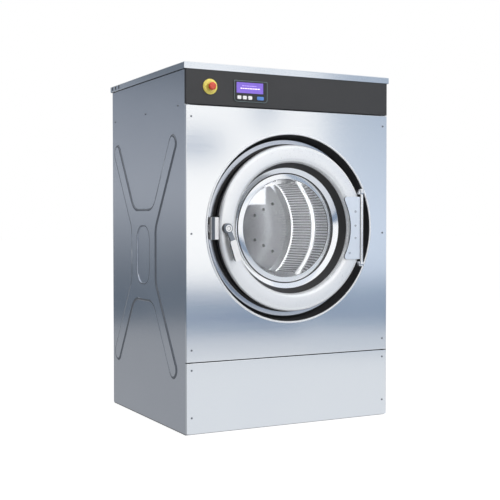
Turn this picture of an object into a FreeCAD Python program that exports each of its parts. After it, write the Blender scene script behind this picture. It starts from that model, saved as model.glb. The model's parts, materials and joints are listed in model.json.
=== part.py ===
import FreeCAD, Part
import Sketcher
import math
import os

# Industrial front-loading washing machine, in millimetres.
# X runs to the right as seen from the front, Y to the back and Z up.
# The origin lies on the floor, under the middle of the cabinet.
# "Depth" means the distance behind the front panel's face.

SIZES = {
    # Cabinet panels
    "cabinet_width": 880.0,
    "cabinet_depth": 774.0,
    "cabinet_height": 1356.0,
    "sheet": 1.5,
    "panel_fold": 12.0,
    "bend_radius": 2.5,
    "side_flange": 20.0,
    "floor_gap": 4.0,
    "seam_gap": 3.0,
    "fascia_height": 152.6,
    "panel_above_axis": 448.7,
    "panel_below_axis": 489.7,
    "lid_skirt": 24.5,
    "lid_side_overhang": 7.4,
    "lid_front_overhang": 2.2,
    "lid_rear_overhang": 3.7,
    "panel_clearance": 0.3,
    # Pressed cross on the side panels
    "swage_height": 3.0,
    "swage_slope": 40.0,
    "swage_front_inset": 73.0,
    "swage_rear_inset": 13.0,
    "swage_middle": 648.0,
    "swage_waist": 131.0,
    "swage_waist_height": 105.0,
    "swage_outer_height": 430.0,
    "swage_tip_drawn_in": 7.0,
    "swage_tip_lift": 5.0,
    "swage_notch_reach": 100.0,
    "swage_notch_height": 182.0,
    "swage_waist_round": 60.0,
    "swage_tip_round": 33.0,
    "swage_notch_round": 80.0,
    "swage_slot_width": 136.0,
    "swage_slot_height": 231.0,
    "swage_slot_round": 55.0,
    # Air slots in the rear panel
    "vent_width": 8.0,
    "vent_height": 120.0,
    "vent_pitch": 22.0,
    "vent_count": 12,
    "vent_drop": 276.0,
    # Frame
    "base_height": 50.0,
    "base_flange": 60.0,
    "base_wall": 5.0,
    "anchor_inset_across": 35.0,
    "anchor_inset_along": 42.0,
    "anchor_hole_radius": 7.5,
    "post_leg": 40.0,
    "post_wall": 3.0,
    # Door opening
    "hole_radius": 355.4,
    "rim_width": 7.0,
    "rim_height": 4.0,
    "rim_roll": 2.5,
    # Door frame ring and splash seal
    "frame_ring_outer": 343.0,
    "frame_ring_inner": 272.0,
    "frame_ring_depth": 33.0,
    "frame_ring_wall": 3.0,
    "frame_ring_skirt": 12.0,
    "frame_ring_roll": 8.0,
    "splash_wall": 3.0,
    "rubber_clearance": 0.3,
    # Tub
    "tub_radius": 285.0,
    "tub_wall": 3.0,
    "tub_flange": 12.0,
    "tub_front_depth": 73.0,
    "drive_room": 278.0,
    "tub_back_wall": 4.0,
    "tub_back_hole": 62.0,
    # Cradles under the tub
    "cradle_thickness": 8.0,
    "cradle_front_depth": 130.0,
    "cradle_motor_gap": 12.0,
    "cradle_inset": 13.5,
    "cradle_foot_height": 40.0,
    "cradle_shoulder": 300.0,
    "cradle_seat_drop": 134.7,
    "cradle_window": 185.0,
    "cradle_window_rise": 40.0,
    "cradle_window_drop": 76.7,
    "cradle_round": 30.0,
    # Drum
    "drum_radius": 265.0,
    "drum_sheet": 1.5,
    "drum_mouth_radius": 222.0,
    "drum_front_depth": 82.0,
    "drum_cone_depth": 89.0,
    "drum_wall_depth": 97.0,
    "spider_gap": 2.5,
    "drum_corner": 15.0,
    "slot_width": 6.0,
    "slot_end_gap": 10.0,
    "slot_gap": 44.0,
    "slot_count": 36,
    "back_hole_radius": 6.0,
    "back_hole_inner": 105.0,
    "back_hole_middle": 155.0,
    "back_hole_outer": 205.0,
    "back_hole_count": 6,
    "lifter_base": 84.0,
    "lifter_top": 36.0,
    "lifter_height": 38.0,
    "lifter_round": 14.0,
    "lifter_clearance": 0.4,
    "lifter_end_gap": 4.0,
    "lifter_count": 3,
    "lifter_angle": 30.0,
    # Drum drive
    "spider_depth": 18.0,
    "spider_hub": 60.0,
    "spider_arm_width": 56.0,
    "spider_arm_reach": 250.0,
    "shaft_flange": 50.0,
    "shaft_flange_depth": 5.0,
    "shaft_radius": 30.0,
    "shaft_end_radius": 25.0,
    "shaft_step": 56.0,
    "shaft_length": 218.0,
    "running_clearance": 0.05,
    "press_clearance": 0.02,
    "seal_depth": 12.0,
    "front_bearing_radius": 55.0,
    "front_bearing_width": 34.0,
    "rear_bearing_radius": 45.0,
    "rear_bearing_width": 32.0,
    "housing_length": 154.0,
    "housing_flange": 110.0,
    "housing_flange_depth": 10.0,
    "housing_front_radius": 76.0,
    "housing_rear_radius": 62.0,
    "housing_core": 38.0,
    "belt_stand_off": 31.0,
    "belt_width": 30.0,
    "belt_thickness": 5.0,
    "belt_clearance": 0.3,
    "pulley_width": 38.0,
    "drum_pulley_radius": 190.0,
    "pulley_rim": 10.0,
    "pulley_web": 16.0,
    "pulley_hole_radius": 32.0,
    "pulley_hole_circle": 110.0,
    "pulley_hole_count": 6,
    "motor_pulley_radius": 38.0,
    "motor_across": 150.0,
    "motor_height": 232.0,
    "motor_radius": 85.0,
    "motor_bell_radius": 70.0,
    "motor_bell_depth": 16.0,
    "motor_pulley_gap": 22.0,
    "motor_length": 270.0,
    "motor_bore_depth": 40.0,
    "motor_shaft_radius": 14.0,
    "motor_foot_width": 150.0,
    "motor_foot_depth": 170.0,
    "motor_foot_drop": 92.0,
    "motor_box_width": 80.0,
    "motor_box_height": 120.0,
    "motor_seat": 50.0,
    "bracket_width": 220.0,
    "bracket_depth": 200.0,
    "bracket_plate": 6.0,
    # Water connections
    "inlet_cold_across": -200.0,
    "inlet_hot_across": -120.0,
    "inlet_drop": 126.0,
    "inlet_radius": 13.2,
    "inlet_bore": 9.0,
    "inlet_neck": 14.0,
    "inlet_length": 20.0,
    "neck_proud": 2.0,
    "inlet_body": 20.0,
    "inlet_body_depth": 45.0,
    "drain_across": -120.0,
    "drain_height": 250.0,
    "drain_depth": 200.0,
    "drain_radius": 37.5,
    "drain_neck": 38.5,
    "drain_bore": 34.0,
    "drain_riser": 40.0,
    "drain_stub": 40.0,
    "drain_motor_width": 76.0,
    "drain_motor_height": 90.0,
    # Door
    "door_radius": 312.0,
    "door_crown": 24.0,
    "door_wall": 2.5,
    "door_inner_radius": 249.5,
    "door_outer_round": 22.0,
    "door_inner_round": 16.0,
    "door_skirt_depth": 6.0,
    "door_lip_depth": 4.0,
    "gasket_outer": 311.0,
    "gasket_lip": 300.0,
    "gasket_inner": 285.0,
    "gasket_shoulder": 22.0,
    "gasket_clearance": 0.3,
    "seal_shelf": 18.0,
    "seal_back_radius": 236.0,
    "seal_back_depth": 60.0,
    "seal_lip": 22.0,
    "clamp_outer": 232.5,
    "clamp_inner": 212.5,
    "clamp_depth": 31.0,
    "clamp_back": 44.0,
    "clamp_slope": 12.0,
    "retainer_outer": 208.0,
    "retainer_depth": 38.5,
    "retainer_slope": 4.0,
    "glass_clear_radius": 189.0,
    "glass_rim": 228.0,
    "glass_depth": 48.0,
    "glass_thickness": 8.0,
    "glass_bowl_radius": 168.0,
    "glass_bowl_depth": 44.0,
    "glass_round": 26.0,
    "glass_inner_round": 19.5,
    # Door hinge
    "hinge_across": 298.5,
    "hinge_forward": 30.0,
    "hinge_plate_height": 244.0,
    "hinge_plate_apex": 270.0,
    "hinge_plate_sweep": 220.0,
    "hinge_plate_back": 215.5,
    "hinge_plate_round": 10.0,
    "hinge_barrel_radius": 6.5,
    "hinge_barrel_height": 263.0,
    "hinge_pin_radius": 4.5,
    "hinge_end_gap": 0.4,
    "hinge_lug_height": 18.0,
    "hinge_lug_width": 18.0,
    "hinge_lug_round": 8.5,
    "hinge_lug_foot": 2.5,
    "hinge_lug_step": 18.0,
    "hinge_pin_head": 3.0,
    # Door handle and lock
    "handle_across": 290.0,
    "handle_lean": -17.5,
    "handle_hub_radius": 18.5,
    "handle_hub_height": 22.0,
    "handle_hub_bevel": 5.5,
    "handle_dimple_radius": 8.0,
    "handle_dimple_depth": 1.5,
    "handle_lever_drop": 3.0,
    "handle_crank": 9.0,
    "handle_seat_gap": 0.3,
    "handle_shaft_radius": 8.0,
    "handle_shaft_end": 2.0,
    "handle_neck_width": 18.0,
    "handle_neck_start": 14.0,
    "handle_neck_length": 46.0,
    "handle_blade_width": 26.0,
    "handle_blade_length": 124.0,
    "handle_blade_thickness": 9.0,
    "handle_blade_round": 6.0,
    "tongue_front": 11.0,
    "tongue_thickness": 8.0,
    "tongue_reach": 44.5,
    "tongue_width": 12.0,
    "tongue_eye": 26.0,
    "tongue_round": 4.5,
    "tongue_fillet": 3.0,
    "tongue_slot_low": 10.0,
    "tongue_slot_high": 47.0,
    "tongue_slot_play": 2.0,
    "keeper_height": 83.0,
    "keeper_wall": 4.5,
    "keeper_outer": 343.0,
    "keeper_lip_edge": 318.0,
    "keeper_lip": 6.0,
    "keeper_lip_gap": 3.0,
    "keeper_foot": 17.0,
    "keeper_slope": 9.0,
    "keeper_slot_height": 28.0,
    "keeper_slot_front": 4.0,
    "keeper_slot_length": 18.0,
    # Control fascia
    "bezel_inset": 193.0,
    "bezel_width": 140.0,
    "bezel_rise": 19.6,
    "bezel_height": 79.0,
    "bezel_thickness": 3.0,
    "bezel_round": 3.0,
    "bezel_low_round": 13.0,
    "bezel_margin": 4.0,
    "screen_inset": 10.5,
    "screen_width": 112.0,
    "screen_rise": 32.5,
    "screen_height": 40.0,
    "screen_recess": 0.8,
    "key_inset": 21.5,
    "key_pitch": 22.7,
    "key_width": 16.3,
    "key_height": 13.2,
    "key_rise": 16.0,
    "start_key_inset": 109.5,
    "start_key_width": 28.0,
    "key_proud": 1.4,
    "key_back": 6.5,
    "key_round": 3.5,
    "key_clearance": 0.3,
    "control_box_inset": 48.0,
    "control_box_width": 312.0,
    "control_box_rise": 12.6,
    "control_box_height": 96.0,
    "control_box_depth": 70.0,
    "control_bay_depth": 9.0,
    "stop_inset": 96.0,
    "stop_rise": 67.6,
    "stop_collar_radius": 28.4,
    "stop_collar_height": 7.0,
    "stop_collar_edge": 3.0,
    "stop_collar_face": 20.0,
    "stop_barrel_radius": 14.0,
    "stop_barrel_end": 12.0,
    "stop_stem_radius": 9.0,
    "stop_stem_front": 13.0,
    "stop_stem_back": 30.0,
    "stop_head_radius": 14.4,
    "stop_head_height": 15.0,
    "stop_head_bevel": 4.0,
    "stop_head_neck": 11.0,
    "stop_clearance": 0.3,
}

doc = FreeCAD.newDocument("washing_machine")


# Sizes and the sheet

class Size:
    """A number together with the sheet expression that gives it."""

    def __init__(self, value, text):
        self.value = float(value)
        self.text = text

    def __add__(self, other):
        return Size(self.value + number(other), joined(self, "+", other))

    def __radd__(self, other):
        return Size(number(other) + self.value, joined(other, "+", self))

    def __sub__(self, other):
        return Size(self.value - number(other), joined(self, "-", other))

    def __rsub__(self, other):
        return Size(number(other) - self.value, joined(other, "-", self))

    def __mul__(self, other):
        return Size(self.value * number(other), joined(self, "*", other))

    def __rmul__(self, other):
        return Size(number(other) * self.value, joined(other, "*", self))

    def __truediv__(self, other):
        return Size(self.value / number(other), joined(self, "/", other))

    def __rtruediv__(self, other):
        return Size(number(other) / self.value, joined(other, "/", self))

    def __neg__(self):
        return 0 - self


def number(size):
    return size.value if isinstance(size, Size) else float(size)


def expression(size):
    return size.text if isinstance(size, Size) else "%.9g" % size


def joined(left, sign, right):
    return "(%s %s %s)" % (expression(left), sign, expression(right))


class Dimensions:
    """The sheet of driving dimensions, read by name."""

    def __init__(self, sizes):
        sheet = doc.addObject("Spreadsheet::Sheet", "Dims")
        for row, (name, value) in enumerate(sizes.items(), start=1):
            sheet.set("A%d" % row, name)
            sheet.set("B%d" % row, "%.9g" % value)
            sheet.setAlias("B%d" % row, name)
        self.sizes = sizes

    def __getattr__(self, name):
        return Size(self.sizes[name], "Dims." + name)


dim = Dimensions(SIZES)
doc.recompute()
front = -dim.cabinet_depth / 2
fascia_seam = dim.cabinet_height - dim.fascia_height
axis_height = fascia_seam - dim.panel_above_axis
plinth_seam = axis_height - dim.panel_below_axis
tub_back_depth = dim.cabinet_depth - dim.drive_room


def bind(obj, path, size):
    """Ties one property of an object to the sheet."""
    obj.setExpression(path, expression(size))


# Sketches and features

def new_body(name, across=0, along=front, up=0):
    body = doc.addObject("PartDesign::Body", name)
    body.Label = name
    bind(body, "Placement.Base.x", across)
    bind(body, "Placement.Base.y", along)
    bind(body, "Placement.Base.z", up)
    return body


def origin_feature(body, role):
    return [f for f in body.Origin.OriginFeatures if f.Role == role][0]


def rectangle(left, low, right, high, corner=0):
    return [(left, low, corner), (right, low, corner), (right, high, corner), (left, high, corner)]


def corner_arc(before, corner, after, radius):
    """Where a round of this radius leaves the two lines that meet in a corner."""
    to_before = (before - corner).normalize()
    to_after = (after - corner).normalize()
    half = to_before.getAngle(to_after) / 2
    start = corner + to_before * (radius / math.tan(half))
    end = corner + to_after * (radius / math.tan(half))
    middle = corner + (to_before + to_after).normalize() * (radius / math.sin(half))
    turns_left = to_before.cross(to_after).z < 0
    first, last = (start, end) if turns_left else (end, start)
    angles = [math.atan2(p.y - middle.y, p.x - middle.x) for p in (first, last)]
    if angles[1] < angles[0]:
        angles[1] += 2 * math.pi
    circle = Part.Circle(middle, FreeCAD.Vector(0, 0, 1), radius)
    return start, end, Part.ArcOfCircle(circle, angles[0], angles[1]), turns_left


def draw_outline(sketch, corners):
    """Draws a closed outline through (x, y) or (x, y, round) corners, all bound to the sheet."""
    points = [FreeCAD.Vector(number(c[0]), number(c[1]), 0) for c in corners]
    rounds = [c[2] if len(c) > 2 else 0 for c in corners]
    count = len(corners)
    starts = list(points)
    ends = list(points)
    arcs = {}
    for i in range(count):
        if number(rounds[i]) > 0:
            after = points[(i + 1) % count]
            starts[i], ends[i], arc, left = corner_arc(points[i - 1], points[i], after, number(rounds[i]))
            arcs[i] = (arc, left)
    segments = [Part.LineSegment(ends[i], starts[(i + 1) % count]) for i in range(count)]
    lines = sketch.addGeometry(segments, False)
    rules = []
    bound = []

    def measure(kind, *args):
        bound.append((len(rules), args[-1]))
        rules.append(Sketcher.Constraint(kind, *args[:-1], number(args[-1])))

    for i in range(count):
        before = lines[i - 1]
        after = lines[i]
        if i not in arcs:
            rules.append(Sketcher.Constraint("Coincident", before, 2, after, 1))
            measure("DistanceX", -1, 1, after, 1, corners[i][0])
            measure("DistanceY", -1, 1, after, 1, corners[i][1])
            continue
        arc, left = arcs[i]
        bend = sketch.addGeometry(arc, False)
        corner = sketch.addGeometry(Part.Point(points[i]), True)
        first, last = (1, 2) if left else (2, 1)
        measure("DistanceX", -1, 1, corner, 1, corners[i][0])
        measure("DistanceY", -1, 1, corner, 1, corners[i][1])
        rules.append(Sketcher.Constraint("PointOnObject", corner, 1, before))
        rules.append(Sketcher.Constraint("PointOnObject", corner, 1, after))
        rules.append(Sketcher.Constraint("Tangent", before, 2, bend, first))
        rules.append(Sketcher.Constraint("Tangent", bend, last, after, 1))
        measure("Radius", bend, rounds[i])
    numbers = sketch.addConstraint(rules)
    for place, size in bound:
        if isinstance(size, Size):
            sketch.setExpression("Constraints[%d]" % numbers[place], size.text)


def draw_circle(sketch, across, up, radius):
    centre = FreeCAD.Vector(number(across), number(up), 0)
    circle = sketch.addGeometry(Part.Circle(centre, FreeCAD.Vector(0, 0, 1), number(radius)), False)
    sizes = (across, up, radius)
    numbers = sketch.addConstraint([
        Sketcher.Constraint("DistanceX", -1, 1, circle, 3, number(across)),
        Sketcher.Constraint("DistanceY", -1, 1, circle, 3, number(up)),
        Sketcher.Constraint("Radius", circle, number(radius)),
    ])
    for place, size in zip(numbers, sizes):
        if isinstance(size, Size):
            sketch.setExpression("Constraints[%d]" % place, size.text)


def new_sketch(body, plane, offset, outlines=(), circles=()):
    """A sketch on one of the body's own planes, moved along the plane's normal."""
    sketch = body.newObject("Sketcher::SketchObject", body.Name + "_sketch")
    sketch.AttachmentSupport = [(origin_feature(body, plane), "")]
    sketch.MapMode = "FlatFace"
    bind(sketch, "AttachmentOffset.Base.z", offset)
    for corners in outlines:
        draw_outline(sketch, corners)
    for circle in circles:
        draw_circle(sketch, *circle)
    return sketch


def facing(body, depth, outlines=(), circles=()):
    """A sketch that faces the front, at a depth; its axes are X and Z."""
    return new_sketch(body, "XZ_Plane", -depth, outlines, circles)


def lying(body, height, outlines=(), circles=()):
    """A level sketch at a height; its axes are X and depth."""
    return new_sketch(body, "XY_Plane", height, outlines, circles)


def sideways(body, across, outlines=(), circles=()):
    """A sketch that faces the right; its axes are depth and Z."""
    return new_sketch(body, "YZ_Plane", across, outlines, circles)


def feature(body, kind, sketch, length, reverse):
    made = body.newObject("PartDesign::" + kind, body.Name + "_" + kind.lower())
    made.Profile = sketch
    bind(made, "Length", length)
    made.Reversed = reverse
    return made


def pad_back(body, sketch, length):
    return feature(body, "Pad", sketch, length, True)


def pad_up(body, sketch, length):
    return feature(body, "Pad", sketch, length, False)


def cut_back(body, sketch, length):
    return feature(body, "Pocket", sketch, length, False)


def cut_forward(body, sketch, length):
    return feature(body, "Pocket", sketch, length, True)


def cut_up(body, sketch, length):
    return feature(body, "Pocket", sketch, length, True)


def revolve(body, corners):
    """Turns an outline of (radius, depth) corners about the body's Y axis."""
    sketch = lying(body, 0, [corners])
    made = body.newObject("PartDesign::Revolution", body.Name + "_turned")
    made.Profile = sketch
    made.ReferenceAxis = (sketch, ["V_Axis"])
    made.Angle = 360
    return made


def repeat_round(body, original, count):
    pattern = body.newObject("PartDesign::PolarPattern", body.Name + "_round")
    pattern.Originals = [original]
    pattern.Axis = (origin_feature(body, "Y_Axis"), [""])
    pattern.Angle = 360
    bind(pattern, "Occurrences", count)
    body.Tip = pattern
    return pattern


def round_edges(body, base, radius, chosen):
    """Rounds the edges of a feature that a test picks by their end points."""
    doc.recompute()
    names = []
    for i, edge in enumerate(base.Shape.Edges, start=1):
        if chosen([v.Point for v in edge.Vertexes]):
            names.append("Edge%d" % i)
    made = body.newObject("PartDesign::Fillet", body.Name + "_fillet")
    made.Base = (base, names)
    bind(made, "Radius", radius)
    return made


def near(value, size):
    return abs(value - number(size)) < 0.01


# Frame and panels

panel_half = dim.cabinet_width / 2
inner_half = panel_half - dim.sheet
frame_near = dim.panel_fold + dim.sheet
frame_far = dim.cabinet_depth - 2 * dim.sheet
lid_under = dim.cabinet_height - dim.sheet
inlet_height = dim.cabinet_height - dim.inlet_drop


def frame_outline(inset):
    return rectangle(inset - inner_half, frame_near + inset, inner_half - inset, frame_far - inset)


def make_base_frame():
    body = new_body("base_frame")
    flange = [frame_outline(0 * dim.base_wall), frame_outline(dim.base_flange)]
    web = [frame_outline(0 * dim.base_wall), frame_outline(dim.base_wall)]
    pad_up(body, lying(body, 0, flange), dim.base_wall)
    pad_up(body, lying(body, 0, web), dim.base_height)
    pad_up(body, lying(body, dim.base_height - dim.base_wall, flange), dim.base_wall)
    half_across = panel_half - dim.anchor_inset_across
    half_along = dim.cabinet_depth / 2 - dim.anchor_inset_along
    holes = []
    for side in (-1, 1):
        for end in (-1, 1):
            depth = dim.cabinet_depth / 2 + end * half_along
            holes.append((side * half_across, depth, dim.anchor_hole_radius))
    cut_up(body, lying(body, 0, circles=holes), dim.base_wall)


def make_upper_frame():
    body = new_body("upper_frame")
    rail_low = lid_under - dim.post_leg
    rail = [frame_outline(0 * dim.post_wall), frame_outline(dim.post_wall)]
    ledge = [frame_outline(0 * dim.post_wall), frame_outline(dim.post_leg)]
    pad_up(body, lying(body, rail_low, rail), dim.post_leg)
    pad_up(body, lying(body, lid_under - dim.post_wall, ledge), dim.post_wall)
    posts = []
    for side in (-1, 1):
        for depth, inward in ((frame_near, 1), (frame_far, -1)):
            outer = side * inner_half
            leg = dim.post_leg
            wall = dim.post_wall
            posts.append([
                (outer, depth),
                (outer - side * leg, depth),
                (outer - side * leg, depth + inward * wall),
                (outer - side * wall, depth + inward * wall),
                (outer - side * wall, depth + inward * leg),
                (outer, depth + inward * leg),
            ])
    pad_up(body, lying(body, dim.base_height, posts), lid_under - dim.base_height)


swage_centre = (dim.cabinet_depth - dim.swage_rear_inset + dim.swage_front_inset) / 2


def swage_outline():
    """The pressed cross, worked out for one quarter and repeated with the signs changed."""
    reach = (dim.cabinet_depth - dim.swage_rear_inset - dim.swage_front_inset) / 2
    tip_across = 2 * dim.swage_tip_round - dim.swage_tip_drawn_in
    tip_rise = dim.swage_tip_round + dim.swage_tip_lift
    quarter = [
        (dim.swage_waist, dim.swage_waist_height, dim.swage_waist_round),
        (reach, dim.swage_outer_height, dim.swage_tip_round),
        (reach - tip_across, dim.swage_outer_height + tip_rise, dim.swage_tip_round),
        (dim.swage_notch_reach, dim.swage_notch_height, dim.swage_notch_round),
    ]
    corners = []
    for along, up in ((1, 1), (-1, 1), (-1, -1), (1, -1)):
        ordered = quarter if along * up > 0 else quarter[::-1]
        for reach, height, bend in ordered:
            corners.append((swage_centre + along * reach, dim.swage_middle + up * height, bend))
    return corners


def make_side_panel(name, side):
    body = new_body(name, across=side * panel_half)
    near_edge = dim.panel_fold
    far_edge = dim.cabinet_depth - dim.sheet
    inside = -side * dim.sheet
    flange = -side * dim.side_flange
    folded = [
        (0, near_edge),
        (0, far_edge),
        (flange, far_edge),
        (flange, far_edge - dim.sheet),
        (inside, far_edge - dim.sheet),
        (inside, near_edge + dim.sheet),
        (flange, near_edge + dim.sheet),
        (flange, near_edge),
    ]
    pad_up(body, lying(body, dim.floor_gap, [folded]), lid_under - dim.floor_gap)
    slot = rectangle(
        swage_centre - dim.swage_slot_width / 2, dim.swage_middle - dim.swage_slot_height / 2,
        swage_centre + dim.swage_slot_width / 2, dim.swage_middle + dim.swage_slot_height / 2,
        dim.swage_slot_round,
    )
    swage = feature(body, "Pad", sideways(body, 0, [swage_outline(), slot]), dim.swage_height, side < 0)
    bind(swage, "TaperAngle", -dim.swage_slope)


def make_rear_panel():
    body = new_body("rear_panel")
    half = inner_half - dim.panel_clearance
    sheet_front = dim.cabinet_depth - dim.sheet
    vent_middle = dim.cabinet_height - dim.vent_drop
    pad_back(body, facing(body, sheet_front, [rectangle(-half, dim.floor_gap, half, lid_under)]), dim.sheet)
    passages = [
        (dim.inlet_cold_across, inlet_height, dim.inlet_neck + dim.panel_clearance),
        (dim.inlet_hot_across, inlet_height, dim.inlet_neck + dim.panel_clearance),
        (dim.drain_across, dim.drain_height, dim.drain_neck + dim.panel_clearance),
    ]
    cut_back(body, facing(body, sheet_front, circles=passages), dim.sheet)
    first = -dim.vent_pitch * (dim.vent_count - 1) / 2
    vent = rectangle(
        first - dim.vent_width / 2, vent_middle - dim.vent_height / 2,
        first + dim.vent_width / 2, vent_middle + dim.vent_height / 2,
    )
    vents = cut_back(body, facing(body, sheet_front, [vent]), dim.sheet)
    pattern = body.newObject("PartDesign::LinearPattern", "rear_panel_vents")
    pattern.Originals = [vents]
    pattern.Direction = (origin_feature(body, "X_Axis"), [""])
    bind(pattern, "Length", dim.vent_pitch * (dim.vent_count - 1))
    bind(pattern, "Occurrences", dim.vent_count)
    body.Tip = pattern


def make_pan(body, half, low, high):
    """A front panel: a sheet with its four edges folded back and its bends rounded."""
    pan = pad_back(body, facing(body, 0, [rectangle(-half, low, half, high)]), dim.panel_fold)
    inside = rectangle(dim.sheet - half, low + dim.sheet, half - dim.sheet, high - dim.sheet)
    round_edges(body, pan, dim.bend_radius, lambda ends: all(near(p.y, 0) for p in ends))
    cut_back(body, facing(body, dim.sheet, [inside]), dim.panel_fold)


def make_front_panel():
    body = new_body("front_panel", up=axis_height)
    low = plinth_seam + dim.seam_gap / 2 - axis_height
    high = fascia_seam - dim.seam_gap / 2 - axis_height
    make_pan(body, panel_half, low, high)
    cut_back(body, facing(body, 0, circles=[(0, 0, dim.hole_radius + dim.rim_width / 2)]), dim.panel_fold)
    outer = dim.hole_radius + dim.rim_width
    roll = dim.rim_roll
    revolve(body, [
        (dim.hole_radius, dim.panel_fold),
        (dim.hole_radius, roll - dim.rim_height),
        (dim.hole_radius + roll, -dim.rim_height),
        (outer - roll, -dim.rim_height),
        (outer, roll - dim.rim_height),
        (outer, dim.sheet),
        (dim.hole_radius + dim.sheet, dim.sheet),
        (dim.hole_radius + dim.sheet, dim.panel_fold),
    ])


def make_plinth_panel():
    body = new_body("plinth_panel")
    make_pan(body, panel_half, dim.floor_gap, plinth_seam - dim.seam_gap / 2)


def make_control_fascia():
    body = new_body("control_fascia")
    make_pan(body, panel_half, fascia_seam + dim.seam_gap / 2, lid_under)
    margin = dim.bezel_margin
    window = rectangle(
        bezel_left + margin, bezel_low + margin,
        bezel_right - margin, bezel_high - margin,
    )
    cut_back(body, facing(body, 0, [window]), dim.sheet)
    button = (stop_across, stop_height, dim.stop_barrel_radius + dim.stop_clearance)
    cut_back(body, facing(body, 0, circles=[button]), dim.sheet)


def make_top_lid():
    body = new_body("top_lid", up=dim.cabinet_height - dim.lid_skirt)
    half = panel_half + dim.lid_side_overhang
    near_edge = -dim.lid_front_overhang
    far_edge = dim.cabinet_depth + dim.lid_rear_overhang
    cap = pad_up(body, lying(body, 0, [rectangle(-half, near_edge, half, far_edge)]), dim.lid_skirt)
    round_edges(body, cap, dim.bend_radius, lambda ends: all(near(p.z, dim.lid_skirt) for p in ends))
    inside = rectangle(dim.sheet - half, near_edge + dim.sheet, half - dim.sheet, far_edge - dim.sheet)
    cut_up(body, lying(body, 0, [inside]), dim.lid_skirt - dim.sheet)


# Controls

bezel_left = dim.bezel_inset - panel_half
bezel_right = bezel_left + dim.bezel_width
bezel_low = fascia_seam + dim.bezel_rise
bezel_high = bezel_low + dim.bezel_height
screen_left = bezel_left + dim.screen_inset
screen_low = bezel_low + dim.screen_rise
stop_across = dim.stop_inset - panel_half
stop_height = fascia_seam + dim.stop_rise
key_first = bezel_left + dim.key_inset
keys = [("key_%d" % (i + 1), key_first + i * dim.key_pitch, dim.key_width) for i in range(3)]
keys.append(("key_start", bezel_left + dim.start_key_inset, dim.start_key_width))


def key_outline(across, width, play):
    half = width / 2 + play
    rise = dim.key_height / 2 + play
    middle = bezel_low + dim.key_rise
    return rectangle(across - half, middle - rise, across + half, middle + rise, dim.key_round)


def make_display_bezel():
    body = new_body("display_bezel")
    plate = [
        (bezel_left, bezel_low, dim.bezel_low_round),
        (bezel_right, bezel_low, dim.bezel_low_round),
        (bezel_right, bezel_high, dim.bezel_round),
        (bezel_left, bezel_high, dim.bezel_round),
    ]
    pad_back(body, facing(body, -dim.bezel_thickness, [plate]), dim.bezel_thickness)
    windows = [rectangle(
        screen_left, screen_low,
        screen_left + dim.screen_width, screen_low + dim.screen_height,
    )]
    for name, across, width in keys:
        windows.append(key_outline(across, width, dim.key_clearance))
    cut_back(body, facing(body, -dim.bezel_thickness, windows), dim.bezel_thickness)


def make_display_screen():
    body = new_body("display_screen")
    gap = dim.key_clearance
    pane = rectangle(
        screen_left + gap, screen_low + gap,
        screen_left + dim.screen_width - gap, screen_low + dim.screen_height - gap,
    )
    face = dim.screen_recess - dim.bezel_thickness
    pad_back(body, facing(body, face, [pane]), dim.control_bay_depth - face)


def make_keys():
    for name, across, width in keys:
        body = new_body(name)
        face = -dim.bezel_thickness - dim.key_proud
        pad_back(body, facing(body, face, [key_outline(across, width, 0)]), dim.key_back - face)


def make_control_box():
    body = new_body("control_box")
    left = dim.control_box_inset - panel_half
    low = fascia_seam + dim.control_box_rise
    case = rectangle(left, low, left + dim.control_box_width, low + dim.control_box_height)
    pad_back(body, facing(body, dim.sheet, [case]), dim.control_box_depth)
    bay = rectangle(bezel_left, bezel_low, bezel_right, bezel_high)
    cut_back(body, facing(body, dim.sheet, [bay]), dim.control_bay_depth - dim.sheet)
    well = (stop_across, stop_height, dim.stop_barrel_radius + dim.sheet)
    cut_back(body, facing(body, dim.sheet, circles=[well]), dim.stop_stem_back + dim.stop_barrel_end)


def make_stop_button():
    place = {"across": stop_across, "up": stop_height}
    bore = dim.stop_stem_radius + dim.stop_clearance
    revolve(new_body("e_stop_collar", **place), [
        (bore, -dim.stop_collar_height),
        (dim.stop_collar_face, -dim.stop_collar_height),
        (dim.stop_collar_radius, -dim.stop_collar_edge),
        (dim.stop_collar_radius, 0),
        (dim.stop_barrel_radius, 0),
        (dim.stop_barrel_radius, dim.stop_barrel_end),
        (bore, dim.stop_barrel_end),
    ])
    revolve(new_body("e_stop_plunger", **place), [
        (0, -dim.stop_stem_front),
        (dim.stop_stem_radius, -dim.stop_stem_front),
        (dim.stop_stem_radius, dim.stop_stem_back),
        (0, dim.stop_stem_back),
    ])
    top = -dim.stop_stem_front - dim.stop_head_height
    revolve(new_body("e_stop_head", **place), [
        (0, top),
        (dim.stop_head_radius - dim.stop_head_bevel, top),
        (dim.stop_head_radius, top + dim.stop_head_bevel),
        (dim.stop_head_radius, -dim.stop_stem_front - dim.stop_head_bevel),
        (dim.stop_head_neck, -dim.stop_stem_front),
        (0, -dim.stop_stem_front),
    ])


# Tub and what stands on it

tub_outer = dim.tub_radius + dim.tub_wall
tub_plate_back = dim.tub_front_depth + dim.tub_wall
tub_rear_face = tub_back_depth + dim.tub_back_wall
ring_back = dim.frame_ring_depth + dim.frame_ring_wall
cradle_foot = inner_half - dim.cradle_inset


def on_axis(name):
    return new_body(name, up=axis_height)


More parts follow.
